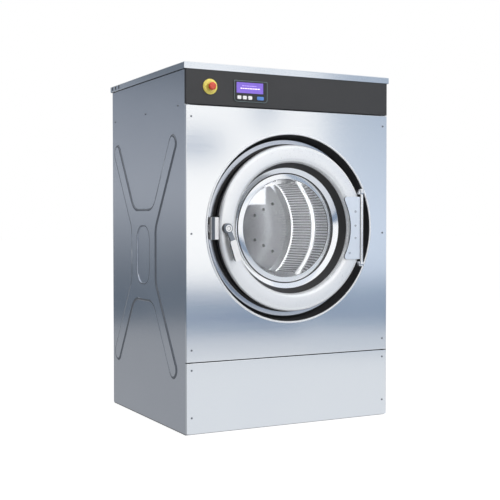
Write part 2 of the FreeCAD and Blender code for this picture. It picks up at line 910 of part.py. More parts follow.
def make_tub():
    flange = tub_outer + dim.tub_flange
    wall = dim.tub_wall
    revolve(on_axis("tub_front"), [
        (dim.frame_ring_inner, ring_back),
        (dim.frame_ring_inner, tub_plate_back),
        (flange, tub_plate_back),
        (flange, dim.tub_front_depth),
        (dim.frame_ring_inner + wall, dim.tub_front_depth),
        (dim.frame_ring_inner + wall, ring_back),
    ])
    shell = on_axis("tub_shell")
    revolve(shell, [
        (dim.tub_radius, tub_plate_back),
        (flange, tub_plate_back),
        (flange, tub_plate_back + wall),
        (tub_outer, tub_plate_back + wall),
        (tub_outer, tub_rear_face),
        (dim.tub_back_hole, tub_rear_face),
        (dim.tub_back_hole, tub_back_depth),
        (dim.tub_radius, tub_back_depth),
    ])
    sump = (dim.drain_across, dim.drain_depth, dim.drain_bore)
    feature(shell, "Pocket", lying(shell, 0, circles=[sump]), tub_outer, False)


def make_door_frame_ring():
    revolve(on_axis("door_frame_ring"), [
        (dim.frame_ring_inner, dim.frame_ring_depth),
        (dim.frame_ring_outer, dim.frame_ring_depth, dim.frame_ring_roll),
        (dim.frame_ring_outer, dim.frame_ring_depth + dim.frame_ring_skirt),
        (dim.frame_ring_outer - dim.frame_ring_wall, dim.frame_ring_depth + dim.frame_ring_skirt),
        (dim.frame_ring_outer - dim.frame_ring_wall, ring_back, dim.frame_ring_roll - dim.frame_ring_wall),
        (dim.frame_ring_inner, ring_back),
    ])


def make_splash_seal():
    near_edge = dim.hole_radius
    near_depth = dim.panel_fold + dim.rubber_clearance
    far_edge = dim.frame_ring_outer + dim.rubber_clearance
    far_depth = dim.frame_ring_depth + dim.frame_ring_skirt
    revolve(on_axis("splash_seal"), [
        (near_edge, near_depth),
        (near_edge + dim.splash_wall, near_depth),
        (far_edge + dim.splash_wall, far_depth),
        (far_edge, far_depth),
    ])


def make_tub_cradle(name, depth):
    body = new_body(name)
    foot_top = dim.base_height + dim.cradle_foot_height
    top = axis_height - dim.cradle_seat_drop
    pad_back(body, facing(body, depth, [[
        (-cradle_foot, dim.base_height),
        (cradle_foot, dim.base_height),
        (cradle_foot, foot_top),
        (dim.cradle_shoulder, top),
        (-dim.cradle_shoulder, top),
        (-cradle_foot, foot_top),
    ]]), dim.cradle_thickness)
    window = rectangle(
        -dim.cradle_window, dim.base_height + dim.cradle_window_rise,
        dim.cradle_window, axis_height - tub_outer - dim.cradle_window_drop, dim.cradle_round,
    )
    seat = (0, axis_height, tub_outer + dim.rubber_clearance)
    cut_back(body, facing(body, depth, [window]), dim.cradle_thickness)
    cut_back(body, facing(body, depth, circles=[seat]), dim.cradle_thickness)


# Drum and its drive

drum_outer = dim.drum_radius + dim.drum_sheet
spider_rear = tub_back_depth - dim.spider_gap
drum_rear_face = spider_rear - dim.spider_depth
drum_back_depth = drum_rear_face - dim.drum_sheet
drum_wall_end = drum_back_depth - dim.drum_corner
housing_end = tub_rear_face + dim.housing_length
belt_plane = housing_end + dim.belt_stand_off
pulley_near = belt_plane - dim.pulley_width / 2
pulley_far = belt_plane + dim.pulley_width / 2
motor_end = pulley_near - dim.motor_pulley_gap
motor_start = motor_end - dim.motor_length
motor_middle = (motor_start + motor_end) / 2


def make_drum_wall():
    body = on_axis("drum_wall")
    revolve(body, [
        (dim.drum_radius, dim.drum_wall_depth),
        (drum_outer, dim.drum_wall_depth),
        (drum_outer, drum_wall_end),
        (dim.drum_radius, drum_wall_end),
    ])
    half = dim.slot_width / 2
    first = dim.drum_wall_depth + dim.slot_end_gap
    length = (drum_wall_end - dim.slot_end_gap - first - dim.slot_gap) / 2
    starts = (first, first + length + dim.slot_gap)
    rows = [rectangle(-half, start, half, start + length) for start in starts]
    below = dim.drum_radius - dim.slot_width
    slots = cut_up(body, lying(body, below, rows), 2 * dim.slot_width + dim.drum_sheet)
    repeat_round(body, slots, dim.slot_count)


def make_drum_ends():
    sheet = dim.drum_sheet
    revolve(on_axis("drum_front"), [
        (dim.drum_radius, dim.drum_wall_depth),
        (drum_outer, dim.drum_wall_depth),
        (drum_outer, dim.drum_cone_depth),
        (dim.drum_mouth_radius, dim.drum_front_depth),
        (dim.drum_mouth_radius, dim.drum_front_depth + sheet),
        (dim.drum_radius, dim.drum_cone_depth + sheet),
    ])
    body = on_axis("drum_back")
    flat = dim.drum_radius - dim.drum_corner
    revolve(body, [
        (0, drum_back_depth),
        (flat, drum_back_depth),
        (dim.drum_radius, drum_wall_end),
        (drum_outer, drum_wall_end),
        (flat + sheet, drum_rear_face),
        (0, drum_rear_face),
    ])
    radii = (dim.back_hole_inner, dim.back_hole_middle, dim.back_hole_outer)
    holes = [(0, radius, dim.back_hole_radius) for radius in radii]
    cut = cut_back(body, facing(body, drum_back_depth, circles=holes), dim.drum_sheet)
    repeat_round(body, cut, dim.back_hole_count)


def turned_body(name, angle):
    """A body on the drum's axis, turned about it."""
    body = on_axis(name)
    body.Placement = FreeCAD.Placement(body.Placement.Base, FreeCAD.Rotation(FreeCAD.Vector(0, 1, 0), 1))
    bind(body, "Placement.Rotation.Angle", angle)
    return body


def make_drum_lifters():
    half = dim.lifter_base / 2
    reach = dim.drum_radius - dim.lifter_clearance
    base = Size(
        math.sqrt(number(reach) ** 2 - number(half) ** 2),
        "sqrt(%s * %s - %s * %s)" % (reach.text, reach.text, half.text, half.text),
    )
    top = base - dim.lifter_height
    start = dim.drum_wall_depth + dim.lifter_end_gap
    for i in range(int(SIZES["lifter_count"])):
        body = turned_body("drum_lifter_%d" % (i + 1), dim.lifter_angle + i * 360 / dim.lifter_count)
        section = [
            (-half, base),
            (half, base),
            (dim.lifter_top / 2, top, dim.lifter_round),
            (-dim.lifter_top / 2, top, dim.lifter_round),
        ]
        pad_back(body, facing(body, start, [section]), drum_wall_end - dim.lifter_end_gap - start)


def make_drum_spider():
    body = turned_body("drum_spider", dim.lifter_angle)
    hub = facing(body, drum_rear_face, circles=[(0, 0, dim.spider_hub)])
    pad_back(body, hub, dim.spider_depth)
    half = dim.spider_arm_width / 2
    outline = [
        (-half, 0),
        (half, 0),
        (half / 2, dim.spider_arm_reach, half / 3),
        (-half / 2, dim.spider_arm_reach, half / 3),
    ]
    arm = pad_back(body, facing(body, drum_rear_face, [outline]), dim.spider_depth)
    repeat_round(body, arm, dim.lifter_count)


def make_drum_shaft():
    flange_back = spider_rear + dim.shaft_flange_depth
    step = spider_rear + dim.shaft_step
    end = spider_rear + dim.shaft_length
    revolve(on_axis("drum_shaft"), [
        (0, spider_rear),
        (dim.shaft_flange, spider_rear),
        (dim.shaft_flange, flange_back),
        (dim.shaft_radius, flange_back),
        (dim.shaft_radius, step),
        (dim.shaft_end_radius, step),
        (dim.shaft_end_radius, end),
        (0, end),
    ])


def make_bearings():
    fit = dim.press_clearance
    seal_back = tub_rear_face + dim.seal_depth
    front_end = seal_back + dim.front_bearing_width
    rear_start = housing_end - dim.rear_bearing_width
    flange_back = tub_rear_face + dim.housing_flange_depth
    revolve(on_axis("bearing_housing"), [
        (dim.front_bearing_radius + fit, tub_rear_face),
        (dim.housing_flange, tub_rear_face),
        (dim.housing_flange, flange_back),
        (dim.housing_front_radius, flange_back),
        (dim.housing_rear_radius, housing_end),
        (dim.rear_bearing_radius + fit, housing_end),
        (dim.rear_bearing_radius + fit, rear_start),
        (dim.housing_core, rear_start),
        (dim.housing_core, front_end),
        (dim.front_bearing_radius + fit, front_end),
    ])
    bore = dim.shaft_radius + dim.running_clearance
    small_bore = dim.shaft_end_radius + dim.running_clearance
    rings = [
        ("shaft_seal", bore, dim.front_bearing_radius, tub_rear_face, seal_back),
        ("front_bearing", bore, dim.front_bearing_radius, seal_back, front_end),
        ("rear_bearing", small_bore, dim.rear_bearing_radius, rear_start, housing_end),
    ]
    for name, inner, outer, start, end in rings:
        revolve(on_axis(name), rectangle(inner, start, outer, end))


def make_drum_pulley():
    body = on_axis("drum_pulley")
    rim = dim.drum_pulley_radius - dim.pulley_rim
    web_near = belt_plane - dim.pulley_web / 2
    web_far = belt_plane + dim.pulley_web / 2
    bore = dim.shaft_end_radius + dim.press_clearance
    revolve(body, [
        (bore, web_near),
        (rim, web_near),
        (rim, pulley_near),
        (dim.drum_pulley_radius, pulley_near),
        (dim.drum_pulley_radius, pulley_far),
        (rim, pulley_far),
        (rim, web_far),
        (bore, web_far),
    ])
    hole = (0, dim.pulley_hole_circle, dim.pulley_hole_radius)
    cut = cut_back(body, facing(body, web_near, circles=[hole]), dim.pulley_web)
    repeat_round(body, cut, dim.pulley_hole_count)


def make_motor_pulley():
    body = new_body("motor_pulley", across=dim.motor_across, up=dim.motor_height)
    shaft_start = motor_end - dim.motor_bore_depth
    revolve(body, [
        (0, shaft_start),
        (dim.motor_shaft_radius, shaft_start),
        (dim.motor_shaft_radius, pulley_near),
        (dim.motor_pulley_radius, pulley_near),
        (dim.motor_pulley_radius, pulley_far),
        (0, pulley_far),
    ])


def belt_loop(sketch, large, small):
    """Two arcs round the pulleys' centres, joined by the lines that touch them both."""
    top = FreeCAD.Vector(0, number(axis_height), 0)
    low = FreeCAD.Vector(number(dim.motor_across), number(dim.motor_height), 0)
    to_low = low - top
    heading = math.atan2(to_low.y, to_low.x)
    lean = math.acos((number(large) - number(small)) / to_low.Length)
    upward = FreeCAD.Vector(0, 0, 1)
    sides = [heading + lean, heading - lean]

    def touch(centre, radius, angle):
        return centre + FreeCAD.Vector(math.cos(angle), math.sin(angle), 0) * number(radius)

    ring = Part.Circle(top, upward, number(large))
    wheel = Part.Circle(low, upward, number(small))
    upper = sketch.addGeometry(Part.ArcOfCircle(ring, sides[0], sides[1] + 2 * math.pi), False)
    lower = sketch.addGeometry(Part.ArcOfCircle(wheel, sides[1], sides[0]), False)
    runs = [Part.LineSegment(touch(top, large, a), touch(low, small, a)) for a in sides]
    first, second = sketch.addGeometry(runs, False)
    numbers = sketch.addConstraint([
        Sketcher.Constraint("Tangent", upper, 1, first, 1),
        Sketcher.Constraint("Tangent", first, 2, lower, 2),
        Sketcher.Constraint("Tangent", lower, 1, second, 2),
        Sketcher.Constraint("Tangent", second, 1, upper, 2),
        Sketcher.Constraint("DistanceX", -1, 1, upper, 3, top.x),
        Sketcher.Constraint("DistanceY", -1, 1, upper, 3, top.y),
        Sketcher.Constraint("DistanceX", -1, 1, lower, 3, low.x),
        Sketcher.Constraint("DistanceY", -1, 1, lower, 3, low.y),
        Sketcher.Constraint("Radius", upper, number(large)),
        Sketcher.Constraint("Radius", lower, number(small)),
    ])
    sizes = (axis_height, dim.motor_across, dim.motor_height, large, small)
    for place, size in zip(numbers[5:], sizes):
        sketch.setExpression("Constraints[%d]" % place, size.text)


def make_drive_belt():
    body = new_body("drive_belt")
    sketch = facing(body, belt_plane - dim.belt_width / 2)
    large = dim.drum_pulley_radius + dim.belt_clearance
    small = dim.motor_pulley_radius + dim.belt_clearance
    belt_loop(sketch, large, small)
    belt_loop(sketch, large + dim.belt_thickness, small + dim.belt_thickness)
    pad_back(body, sketch, dim.belt_width)


def make_motor():
    body = new_body("motor", across=dim.motor_across, up=dim.motor_height)
    end = motor_end
    bore = dim.motor_shaft_radius + dim.running_clearance
    near_bell = motor_start + dim.motor_bell_depth
    far_bell = end - dim.motor_bell_depth
    revolve(body, [
        (0, motor_start),
        (dim.motor_bell_radius, motor_start),
        (dim.motor_radius, near_bell),
        (dim.motor_radius, far_bell),
        (dim.motor_bell_radius, end),
        (bore, end),
        (bore, end - dim.motor_bore_depth),
        (0, end - dim.motor_bore_depth),
    ])
    foot_start = motor_middle - dim.motor_foot_depth / 2
    foot_half = dim.motor_foot_width / 2
    foot = rectangle(-foot_half, -dim.motor_foot_drop, foot_half, -dim.motor_seat)
    pad_back(body, facing(body, foot_start, [foot]), dim.motor_foot_depth)
    box_half = dim.motor_box_width / 2
    box = rectangle(-box_half, dim.motor_seat, box_half, dim.motor_box_height)
    pad_back(body, facing(body, motor_middle - box_half, [box]), dim.motor_box_width)


def make_motor_bracket():
    body = new_body("motor_bracket")
    left = dim.motor_across - dim.bracket_width / 2
    right = dim.motor_across + dim.bracket_width / 2
    plate = dim.bracket_plate
    high = dim.motor_height - dim.motor_foot_drop
    floor = dim.base_height + plate
    hat = [
        (-cradle_foot, dim.base_height),
        (cradle_foot, dim.base_height),
        (cradle_foot, floor),
        (right, floor),
        (right, high),
        (left, high),
        (left, floor),
        (-cradle_foot, floor),
    ]
    hollow = rectangle(left + plate, floor, right - plate, high - plate)
    pad_back(body, facing(body, motor_middle - dim.bracket_depth / 2, [hat, hollow]), dim.bracket_depth)


# Water connections

def make_inlet_valve(name, across):
    back = dim.cabinet_depth
    inner_face = back - dim.sheet
    neck_end = back + dim.neck_proud
    end = neck_end + dim.inlet_length
    revolve(new_body(name, across=across, up=inlet_height), [
        (0, back - dim.inlet_body_depth),
        (dim.inlet_body, back - dim.inlet_body_depth),
        (dim.inlet_body, inner_face),
        (dim.inlet_neck, inner_face),
        (dim.inlet_neck, neck_end),
        (dim.inlet_radius, neck_end),
        (dim.inlet_radius, end),
        (dim.inlet_bore, end),
        (dim.inlet_bore, back - dim.inlet_body_depth / 2),
        (0, back - dim.inlet_body_depth / 2),
    ])


def make_drain_valve():
    body = new_body("drain_valve", across=dim.drain_across)
    neck_end = dim.cabinet_depth + dim.neck_proud
    end = dim.cabinet_depth + dim.drain_stub
    pipe = facing(body, dim.drain_depth, circles=[(0, dim.drain_height, dim.drain_neck)])
    pad_back(body, pipe, neck_end - dim.drain_depth)
    stub = facing(body, neck_end, circles=[(0, dim.drain_height, dim.drain_radius)])
    pad_back(body, stub, end - neck_end)
    box_half = dim.drain_motor_width / 2
    actuator = rectangle(
        -box_half, dim.drain_height - dim.drain_motor_height,
        box_half, dim.drain_height,
    )
    pad_back(body, facing(body, dim.drain_depth - box_half, [actuator]), dim.drain_motor_width)
    riser = lying(body, dim.drain_height, circles=[(0, dim.drain_depth, dim.drain_riser)])
    pad_up(body, riser, axis_height - tub_outer - dim.drain_across / 2 - dim.drain_height)
    tub = (-dim.drain_across, axis_height, tub_outer + dim.rubber_clearance)
    saddle = facing(body, dim.drain_depth - dim.drain_motor_width, circles=[tub])
    cut_back(body, saddle, 2 * dim.drain_motor_width)
    shaft = lying(body, dim.drain_height, circles=[(0, dim.drain_depth, dim.drain_bore)])
    cut_up(body, shaft, axis_height - dim.drain_height)
    bore = facing(body, end, circles=[(0, dim.drain_height, dim.drain_bore)])
    cut_forward(body, bore, end - dim.drain_depth)


# Door

glass_back = dim.glass_depth + dim.glass_thickness


def rolled(radius_at, depth_at, bend, inward, flats):
    """A quarter round of a turned corner, rolled in flats, from its cylinder to its face."""
    points = []
    for i in range(flats + 1):
        angle = math.pi / 2 * i / flats
        across = radius_at + inward * bend * (1 - math.cos(angle))
        points.append((across, depth_at + bend * (1 - math.sin(angle))))
    return points


def make_door_ring():
    body = on_axis("door_ring")
    wall = dim.door_wall
    inner = dim.door_inner_radius
    crown = -dim.door_crown
    outline = [(dim.door_radius, dim.door_skirt_depth)]
    outline += rolled(dim.door_radius, crown, dim.door_outer_round, -1, 3)
    outline += rolled(inner, crown, dim.door_inner_round, 1, 3)[::-1]
    outline += [(inner, dim.door_lip_depth), (inner + wall, dim.door_lip_depth)]
    outline += rolled(inner + wall, crown + wall, dim.door_inner_round - wall, 1, 1)
    outline += rolled(dim.door_radius - wall, crown + wall, dim.door_outer_round - wall, -1, 3)[::-1]
    outline.append((dim.door_radius - wall, dim.door_skirt_depth))
    revolve(body, outline)
    slot = rectangle(
        -dim.tongue_front - dim.tongue_slot_play, -dim.tongue_slot_low,
        dim.door_skirt_depth, dim.tongue_slot_high,
    )
    window = sideways(body, -dim.handle_across, [slot])
    feature(body, "Pocket", window, dim.door_radius - dim.handle_across, False)
    bore = (-dim.handle_across, 0, dim.handle_shaft_radius + dim.handle_seat_gap)
    cut_back(body, facing(body, -dim.door_crown, circles=[bore]), dim.door_crown / 2)


def make_door_rubbers():
    lip = dim.frame_ring_depth - dim.gasket_clearance
    revolve(on_axis("door_gasket"), [
        (dim.gasket_inner, dim.door_skirt_depth),
        (dim.gasket_outer, dim.door_skirt_depth),
        (dim.gasket_outer, dim.gasket_shoulder),
        (dim.gasket_lip, lip),
        (dim.gasket_inner, lip),
    ])
    gap = dim.rubber_clearance
    shelf = dim.gasket_inner - gap
    lip = dim.glass_rim - dim.seal_lip
    seat = dim.clamp_back + gap
    revolve(on_axis("glass_seal"), [
        (dim.door_inner_radius, dim.door_lip_depth),
        (shelf, dim.door_lip_depth),
        (shelf, dim.seal_shelf),
        (dim.seal_back_radius, dim.seal_back_depth),
        (lip, dim.seal_back_depth),
        (lip, glass_back + gap),
        (dim.glass_rim + gap, glass_back + gap),
        (dim.glass_rim + gap, dim.glass_depth - gap),
        (dim.glass_clear_radius, dim.glass_depth - gap),
        (dim.glass_clear_radius, seat),
        (dim.clamp_outer + gap, seat),
        (dim.clamp_outer + gap, dim.clamp_depth),
    ])


def make_glass_rings():
    revolve(on_axis("glass_clamp_ring"), [
        (dim.clamp_inner, dim.clamp_depth + dim.clamp_slope),
        (dim.clamp_outer, dim.clamp_depth),
        (dim.clamp_outer, dim.clamp_back),
        (dim.clamp_inner, dim.clamp_back),
    ])
    revolve(on_axis("glass_retainer"), [
        (dim.glass_clear_radius, dim.retainer_depth),
        (dim.retainer_outer, dim.retainer_depth + dim.retainer_slope),
        (dim.retainer_outer, dim.clamp_back),
        (dim.glass_clear_radius, dim.clamp_back),
    ])


def make_door_glass():
    face = dim.glass_depth + dim.glass_bowl_depth
    wall = dim.glass_thickness
    bowl = dim.glass_bowl_radius
    bend = dim.glass_round
    revolve(on_axis("door_glass"), [
        (dim.glass_rim, dim.glass_depth),
        (dim.glass_rim, glass_back),
        (dim.glass_clear_radius + wall / 2, glass_back),
        (bowl + wall, face + wall - bend),
        (bowl + wall - bend / 3, face + wall - bend / 3),
        (bowl + wall - bend, face + wall),
        (0, face + wall),
        (0, face),
        (bowl - dim.glass_inner_round, face),
        (bowl, face - dim.glass_inner_round),
        (dim.glass_clear_radius - wall / 2, dim.glass_depth),
    ])


# Hinge

barrel_half = dim.hinge_barrel_height / 2


def make_hinge_plate():
    body = on_axis("hinge_plate")
    half = dim.hinge_plate_height / 2
    bend = dim.hinge_plate_round
    plate = [
        (dim.hinge_plate_back, -half, bend),
        (dim.hinge_across, -half, bend),
        (dim.hinge_across, half, bend),
        (dim.hinge_plate_back, half, bend),
        (dim.hinge_plate_apex, 0, dim.hinge_plate_sweep),
    ]
    face = -dim.hinge_forward
    thickness = dim.hinge_forward - dim.door_crown
    pad_back(body, facing(body, face, [plate]), thickness)
    barrel = (dim.hinge_across, face, dim.hinge_barrel_radius)
    pad_up(body, lying(body, -barrel_half, circles=[barrel]), dim.hinge_barrel_height)
    bore = (dim.hinge_across, face, dim.hinge_pin_radius + dim.running_clearance)
    cut_up(body, lying(body, -barrel_half, circles=[bore]), dim.hinge_barrel_height)


def make_hinge_lug(name, low):
    body = on_axis(name)
    half = dim.hinge_lug_width / 2
    nose = -dim.hinge_forward - half
    foot = dim.hinge_across + dim.hinge_lug_foot
    step = dim.hinge_lug_step - dim.hinge_forward
    lug = [
        (dim.hinge_across - half, dim.frame_ring_depth),
        (foot, dim.frame_ring_depth),
        (foot, step),
        (dim.hinge_across + half, step - half),
        (dim.hinge_across + half, nose, dim.hinge_lug_round),
        (dim.hinge_across - half, nose, dim.hinge_lug_round),
    ]
    pad_up(body, lying(body, low, [lug]), dim.hinge_lug_height)
    bore = (dim.hinge_across, -dim.hinge_forward, dim.hinge_pin_radius + dim.press_clearance)
    cut_up(body, lying(body, low, circles=[bore]), dim.hinge_lug_height)


def make_hinge():
    make_hinge_plate()
    reach = barrel_half + dim.hinge_end_gap
    make_hinge_lug("hinge_lug_upper", reach)
    make_hinge_lug("hinge_lug_lower", -reach - dim.hinge_lug_height)
    body = on_axis("hinge_pin")
    end = reach + dim.hinge_lug_height
    middle = (dim.hinge_across, -dim.hinge_forward)
    pin = lying(body, -end, circles=[middle + (dim.hinge_pin_radius,)])
    pad_up(body, pin, 2 * end)
    head = lying(body, end, circles=[middle + (dim.hinge_pin_radius + dim.hinge_pin_head,)])
    pad_up(body, head, dim.hinge_pin_head)


# Handle and lock

def handle_body(name):
    return new_body(name, across=-dim.handle_across, up=axis_height)


def make_door_handle():
    body = handle_body("door_handle")
    turned = FreeCAD.Rotation(FreeCAD.Vector(0, 1, 0), 1)
    body.Placement = FreeCAD.Placement(body.Placement.Base, turned)
    bind(body, "Placement.Rotation.Angle", dim.handle_lean)
    seat = -dim.door_crown - dim.handle_seat_gap
    top = seat - dim.handle_hub_height
    revolve(body, [
        (0, top + dim.handle_dimple_depth),
        (dim.handle_dimple_radius - dim.handle_dimple_depth, top + dim.handle_dimple_depth),
        (dim.handle_dimple_radius, top),
        (dim.handle_hub_radius - dim.handle_hub_bevel, top),
        (dim.handle_hub_radius, top + dim.handle_hub_bevel),
        (dim.handle_hub_radius, seat),
        (dim.handle_shaft_radius, seat),
        (dim.handle_shaft_radius, -dim.handle_shaft_end),
        (0, -dim.handle_shaft_end),
    ])
    lever_front = top + dim.handle_lever_drop
    blade_front = lever_front - dim.handle_crank
    thickness = dim.handle_blade_thickness
    neck_end = -dim.handle_neck_length - dim.handle_blade_round
    cranked = [
        (lever_front, 0),
        (lever_front, -dim.handle_neck_start),
        (blade_front, -dim.handle_neck_length),
        (blade_front, neck_end),
        (blade_front + thickness, neck_end),
        (blade_front + thickness, -dim.handle_neck_length),
        (lever_front + thickness, -dim.handle_neck_start),
        (lever_front + thickness, 0),
    ]
    neck = sideways(body, -dim.handle_neck_width / 2, [cranked])
    feature(body, "Pad", neck, dim.handle_neck_width, False)
    half = dim.handle_blade_width / 2
    blade = rectangle(
        -half, -dim.handle_blade_length, half, -dim.handle_neck_length, dim.handle_blade_round)
    pad_back(body, facing(body, blade_front, [blade]), thickness)


def make_latch_tongue():
    body = handle_body("latch_tongue")
    half = dim.tongue_width / 2
    eye = dim.tongue_eye / 2
    arm = [
        (-dim.tongue_reach, -half, dim.tongue_round),
        (-dim.handle_hub_radius, -half),
        (-eye / 2, -eye, dim.tongue_fillet),
        (eye, -eye, 2 * dim.tongue_round),
        (eye, eye, 2 * dim.tongue_round),
        (-eye / 2, eye, dim.tongue_fillet),
        (-dim.handle_hub_radius, half),
        (-dim.tongue_reach, half, dim.tongue_round),
    ]
    eye_hole = (0, 0, dim.handle_shaft_radius + dim.press_clearance)
    pad_back(body, facing(body, -dim.tongue_front, [arm], [eye_hole]), dim.tongue_thickness)


def make_lock_keeper():
    body = on_axis("lock_keeper")
    outer = -dim.keeper_outer
    wall = outer + dim.keeper_wall
    lip_back = -dim.tongue_front - dim.keeper_lip_gap
    lip_front = lip_back - dim.keeper_lip
    foot_front = dim.frame_ring_depth - dim.keeper_wall
    section = [
        (outer, dim.frame_ring_depth),
        (outer + dim.keeper_foot, dim.frame_ring_depth),
        (outer + dim.keeper_foot, foot_front),
        (wall, foot_front),
        (wall, lip_back),
        (-dim.keeper_lip_edge, lip_back),
        (-dim.keeper_lip_edge, lip_front),
        (outer + dim.keeper_slope, lip_front),
        (outer, lip_front + dim.keeper_slope),
    ]
    pad_up(body, lying(body, -dim.keeper_height / 2, [section]), dim.keeper_height)
    rise = dim.keeper_slot_height / 2
    slot_back = dim.keeper_slot_front + dim.keeper_slot_length
    slot = rectangle(dim.keeper_slot_front, -rise, slot_back, rise)
    feature(body, "Pocket", sideways(body, wall, [slot]), dim.keeper_wall, False)


# Whole machine

make_base_frame()
make_upper_frame()
make_side_panel("left_side_panel", -1)
make_side_panel("right_side_panel", 1)
make_rear_panel()
make_front_panel()
make_plinth_panel()
make_control_fascia()
make_top_lid()
make_display_bezel()
make_display_screen()
make_keys()
make_control_box()
make_stop_button()
make_tub()
make_door_frame_ring()
make_splash_seal()
make_tub_cradle("tub_cradle_front", dim.cradle_front_depth)
make_tub_cradle("tub_cradle_rear", motor_start - dim.cradle_motor_gap - dim.cradle_thickness)
make_drum_wall()
make_drum_ends()
make_drum_lifters()
make_drum_spider()
make_drum_shaft()
make_bearings()
make_drum_pulley()
make_motor_pulley()
make_drive_belt()
make_motor()
make_motor_bracket()
make_inlet_valve("cold_inlet_valve", dim.inlet_cold_across)
make_inlet_valve("hot_inlet_valve", dim.inlet_hot_across)
make_drain_valve()
make_door_ring()
make_door_rubbers()
make_glass_rings()
make_door_glass()
make_hinge()
make_door_handle()
make_latch_tongue()
make_lock_keeper()
doc.recompute()

for obj in doc.Objects:
    for word in ("Invalid", "Error"):
        if word in obj.State:
            raise RuntimeError("%s is %s" % (obj.Name, word))

pieces = [obj for obj in doc.Objects if obj.TypeId == "PartDesign::Body"]
for piece in pieces:
    if piece.Shape.isNull() or not piece.Shape.isValid() or not piece.Shape.Solids:
        raise RuntimeError("%s has no valid solid" % piece.Label)

os.makedirs("parts", exist_ok=True)
for piece in pieces:
    piece.Shape.exportStep("parts/%s.step" % piece.Label)
    print(piece.Label, len(piece.Shape.Solids), "%.1f cm3" % (piece.Shape.Volume / 1000))
print(len(pieces), "pieces")
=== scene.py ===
# %% [markdown]
# # An industrial washing machine
#
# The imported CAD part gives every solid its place, in metres: X to the right, Y to the back, Z up.
# This lesson dresses it. Each step says what the piece is on the real machine, how it could be
# made in Blender, and why one way was chosen.

# %% Load the frame
import json
import math
from contextlib import contextmanager
import bmesh
import bpy
from mathutils import Euler, Matrix, Vector


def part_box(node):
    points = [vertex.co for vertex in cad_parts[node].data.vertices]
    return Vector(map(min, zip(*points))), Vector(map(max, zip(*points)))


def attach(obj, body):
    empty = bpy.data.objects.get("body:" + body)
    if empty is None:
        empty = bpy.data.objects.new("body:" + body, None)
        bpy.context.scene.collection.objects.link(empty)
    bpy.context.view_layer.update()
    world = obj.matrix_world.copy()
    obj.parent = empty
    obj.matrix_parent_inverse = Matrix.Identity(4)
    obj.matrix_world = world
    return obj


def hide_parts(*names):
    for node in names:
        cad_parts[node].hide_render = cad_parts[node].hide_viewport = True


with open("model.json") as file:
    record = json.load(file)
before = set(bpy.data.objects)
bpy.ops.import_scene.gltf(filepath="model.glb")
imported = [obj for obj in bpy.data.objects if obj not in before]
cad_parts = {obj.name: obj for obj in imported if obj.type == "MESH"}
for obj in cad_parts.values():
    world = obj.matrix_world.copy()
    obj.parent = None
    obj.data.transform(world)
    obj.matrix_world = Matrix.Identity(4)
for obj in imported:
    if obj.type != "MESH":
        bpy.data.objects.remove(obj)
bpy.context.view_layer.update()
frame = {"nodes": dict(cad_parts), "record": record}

nodes = frame["nodes"]
MM = 0.001
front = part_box("control_fascia")[0][1]
ring_low, ring_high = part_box("door_ring")
axis_height = (ring_low[2] + ring_high[2]) / 2
print("front face at", round(front, 4), "door axis at", round(axis_height, 4))

# %% [markdown]
# ## Shader maths as Python
#
# A material here is a sum of small patterns. Wrapping a socket in a class with operators lets a
# line such as `0.3 + 0.1 * grain` add the Math nodes by itself, and one method adds any other
# node.


# %% A socket that can be added and multiplied
class Socket:
    """One output of a node tree."""

    def __init__(self, tree, output):
        self.tree = tree
        self.output = output

    def node(self, kind, settings=None, inputs=None, output=0):
        made = self.tree.nodes.new(kind)
        for name, value in (settings or {}).items():
            setattr(made, name, value)
        for name, value in (inputs or {}).items():
            if isinstance(value, Socket):
                self.tree.links.new(value.output, made.inputs[name])
            else:
                made.inputs[name].default_value = value
        return Socket(self.tree, made.outputs[output])

    def math(self, operation, left, right):
        return self.node("ShaderNodeMath", {"operation": operation}, {0: left, 1: right})

    def __add__(self, other):
        return self.math("ADD", self, other)

    def __radd__(self, other):
        return self.math("ADD", other, self)

    def __sub__(self, other):
        return self.math("SUBTRACT", self, other)

    def __rsub__(self, other):
        return self.math("SUBTRACT", other, self)

    def __mul__(self, other):
        return self.math("MULTIPLY", self, other)

    def __rmul__(self, other):
        return self.math("MULTIPLY", other, self)

    def clamped(self):
        return self.node("ShaderNodeClamp", None, {"Value": self})

    def scaled(self, x, y, z):
        return self.node("ShaderNodeMapping", None, {"Vector": self, "Scale": (x, y, z)})

    def noise(self, scale, detail=2.0):
        return self.node("ShaderNodeTexNoise", None, {"Vector": self, "Scale": scale, "Detail": detail})

    def part(self, axis):
        return self.node("ShaderNodeSeparateXYZ", None, {"Vector": self}, output="XYZ".index(axis))

    def between(self, low, high):
        return self.node("ShaderNodeMapRange", None, {"Value": self, "From Min": low, "From Max": high})

    def blend(self, first, second):
        settings = {"data_type": "RGBA", "blend_type": "MIX"}
        inputs = {"Factor": self, 6: (*first, 1), 7: (*second, 1)}
        return self.node("ShaderNodeMix", settings, inputs, output=2)

    def bump(self, strength, distance):
        inputs = {"Height": self, "Strength": strength, "Distance": distance}
        return self.node("ShaderNodeBump", None, inputs)


print("a socket takes + - and *, from either side")


# %% A finish
class Finish:
    """A material with its Principled shader and the piece's own coordinates."""

    def __init__(self, name):
        self.material = bpy.data.materials.new(name)
        self.material.use_nodes = True
        self.tree = self.material.node_tree
        self.shader = self.tree.nodes["Principled BSDF"]
        coordinates = self.tree.nodes.new("ShaderNodeTexCoord")
        self.place = Socket(self.tree, coordinates.outputs["Object"])

    def set(self, **values):
        for name, value in values.items():
            socket = self.shader.inputs[name.replace("_", " ")]
            if isinstance(value, Socket):
                self.tree.links.new(value.output, socket)
            elif isinstance(value, tuple) and len(value) == 3:
                socket.default_value = (*value, 1)
            else:
                socket.default_value = value
        return self.material


finishes = {}
print("finishes so far:", len(finishes))

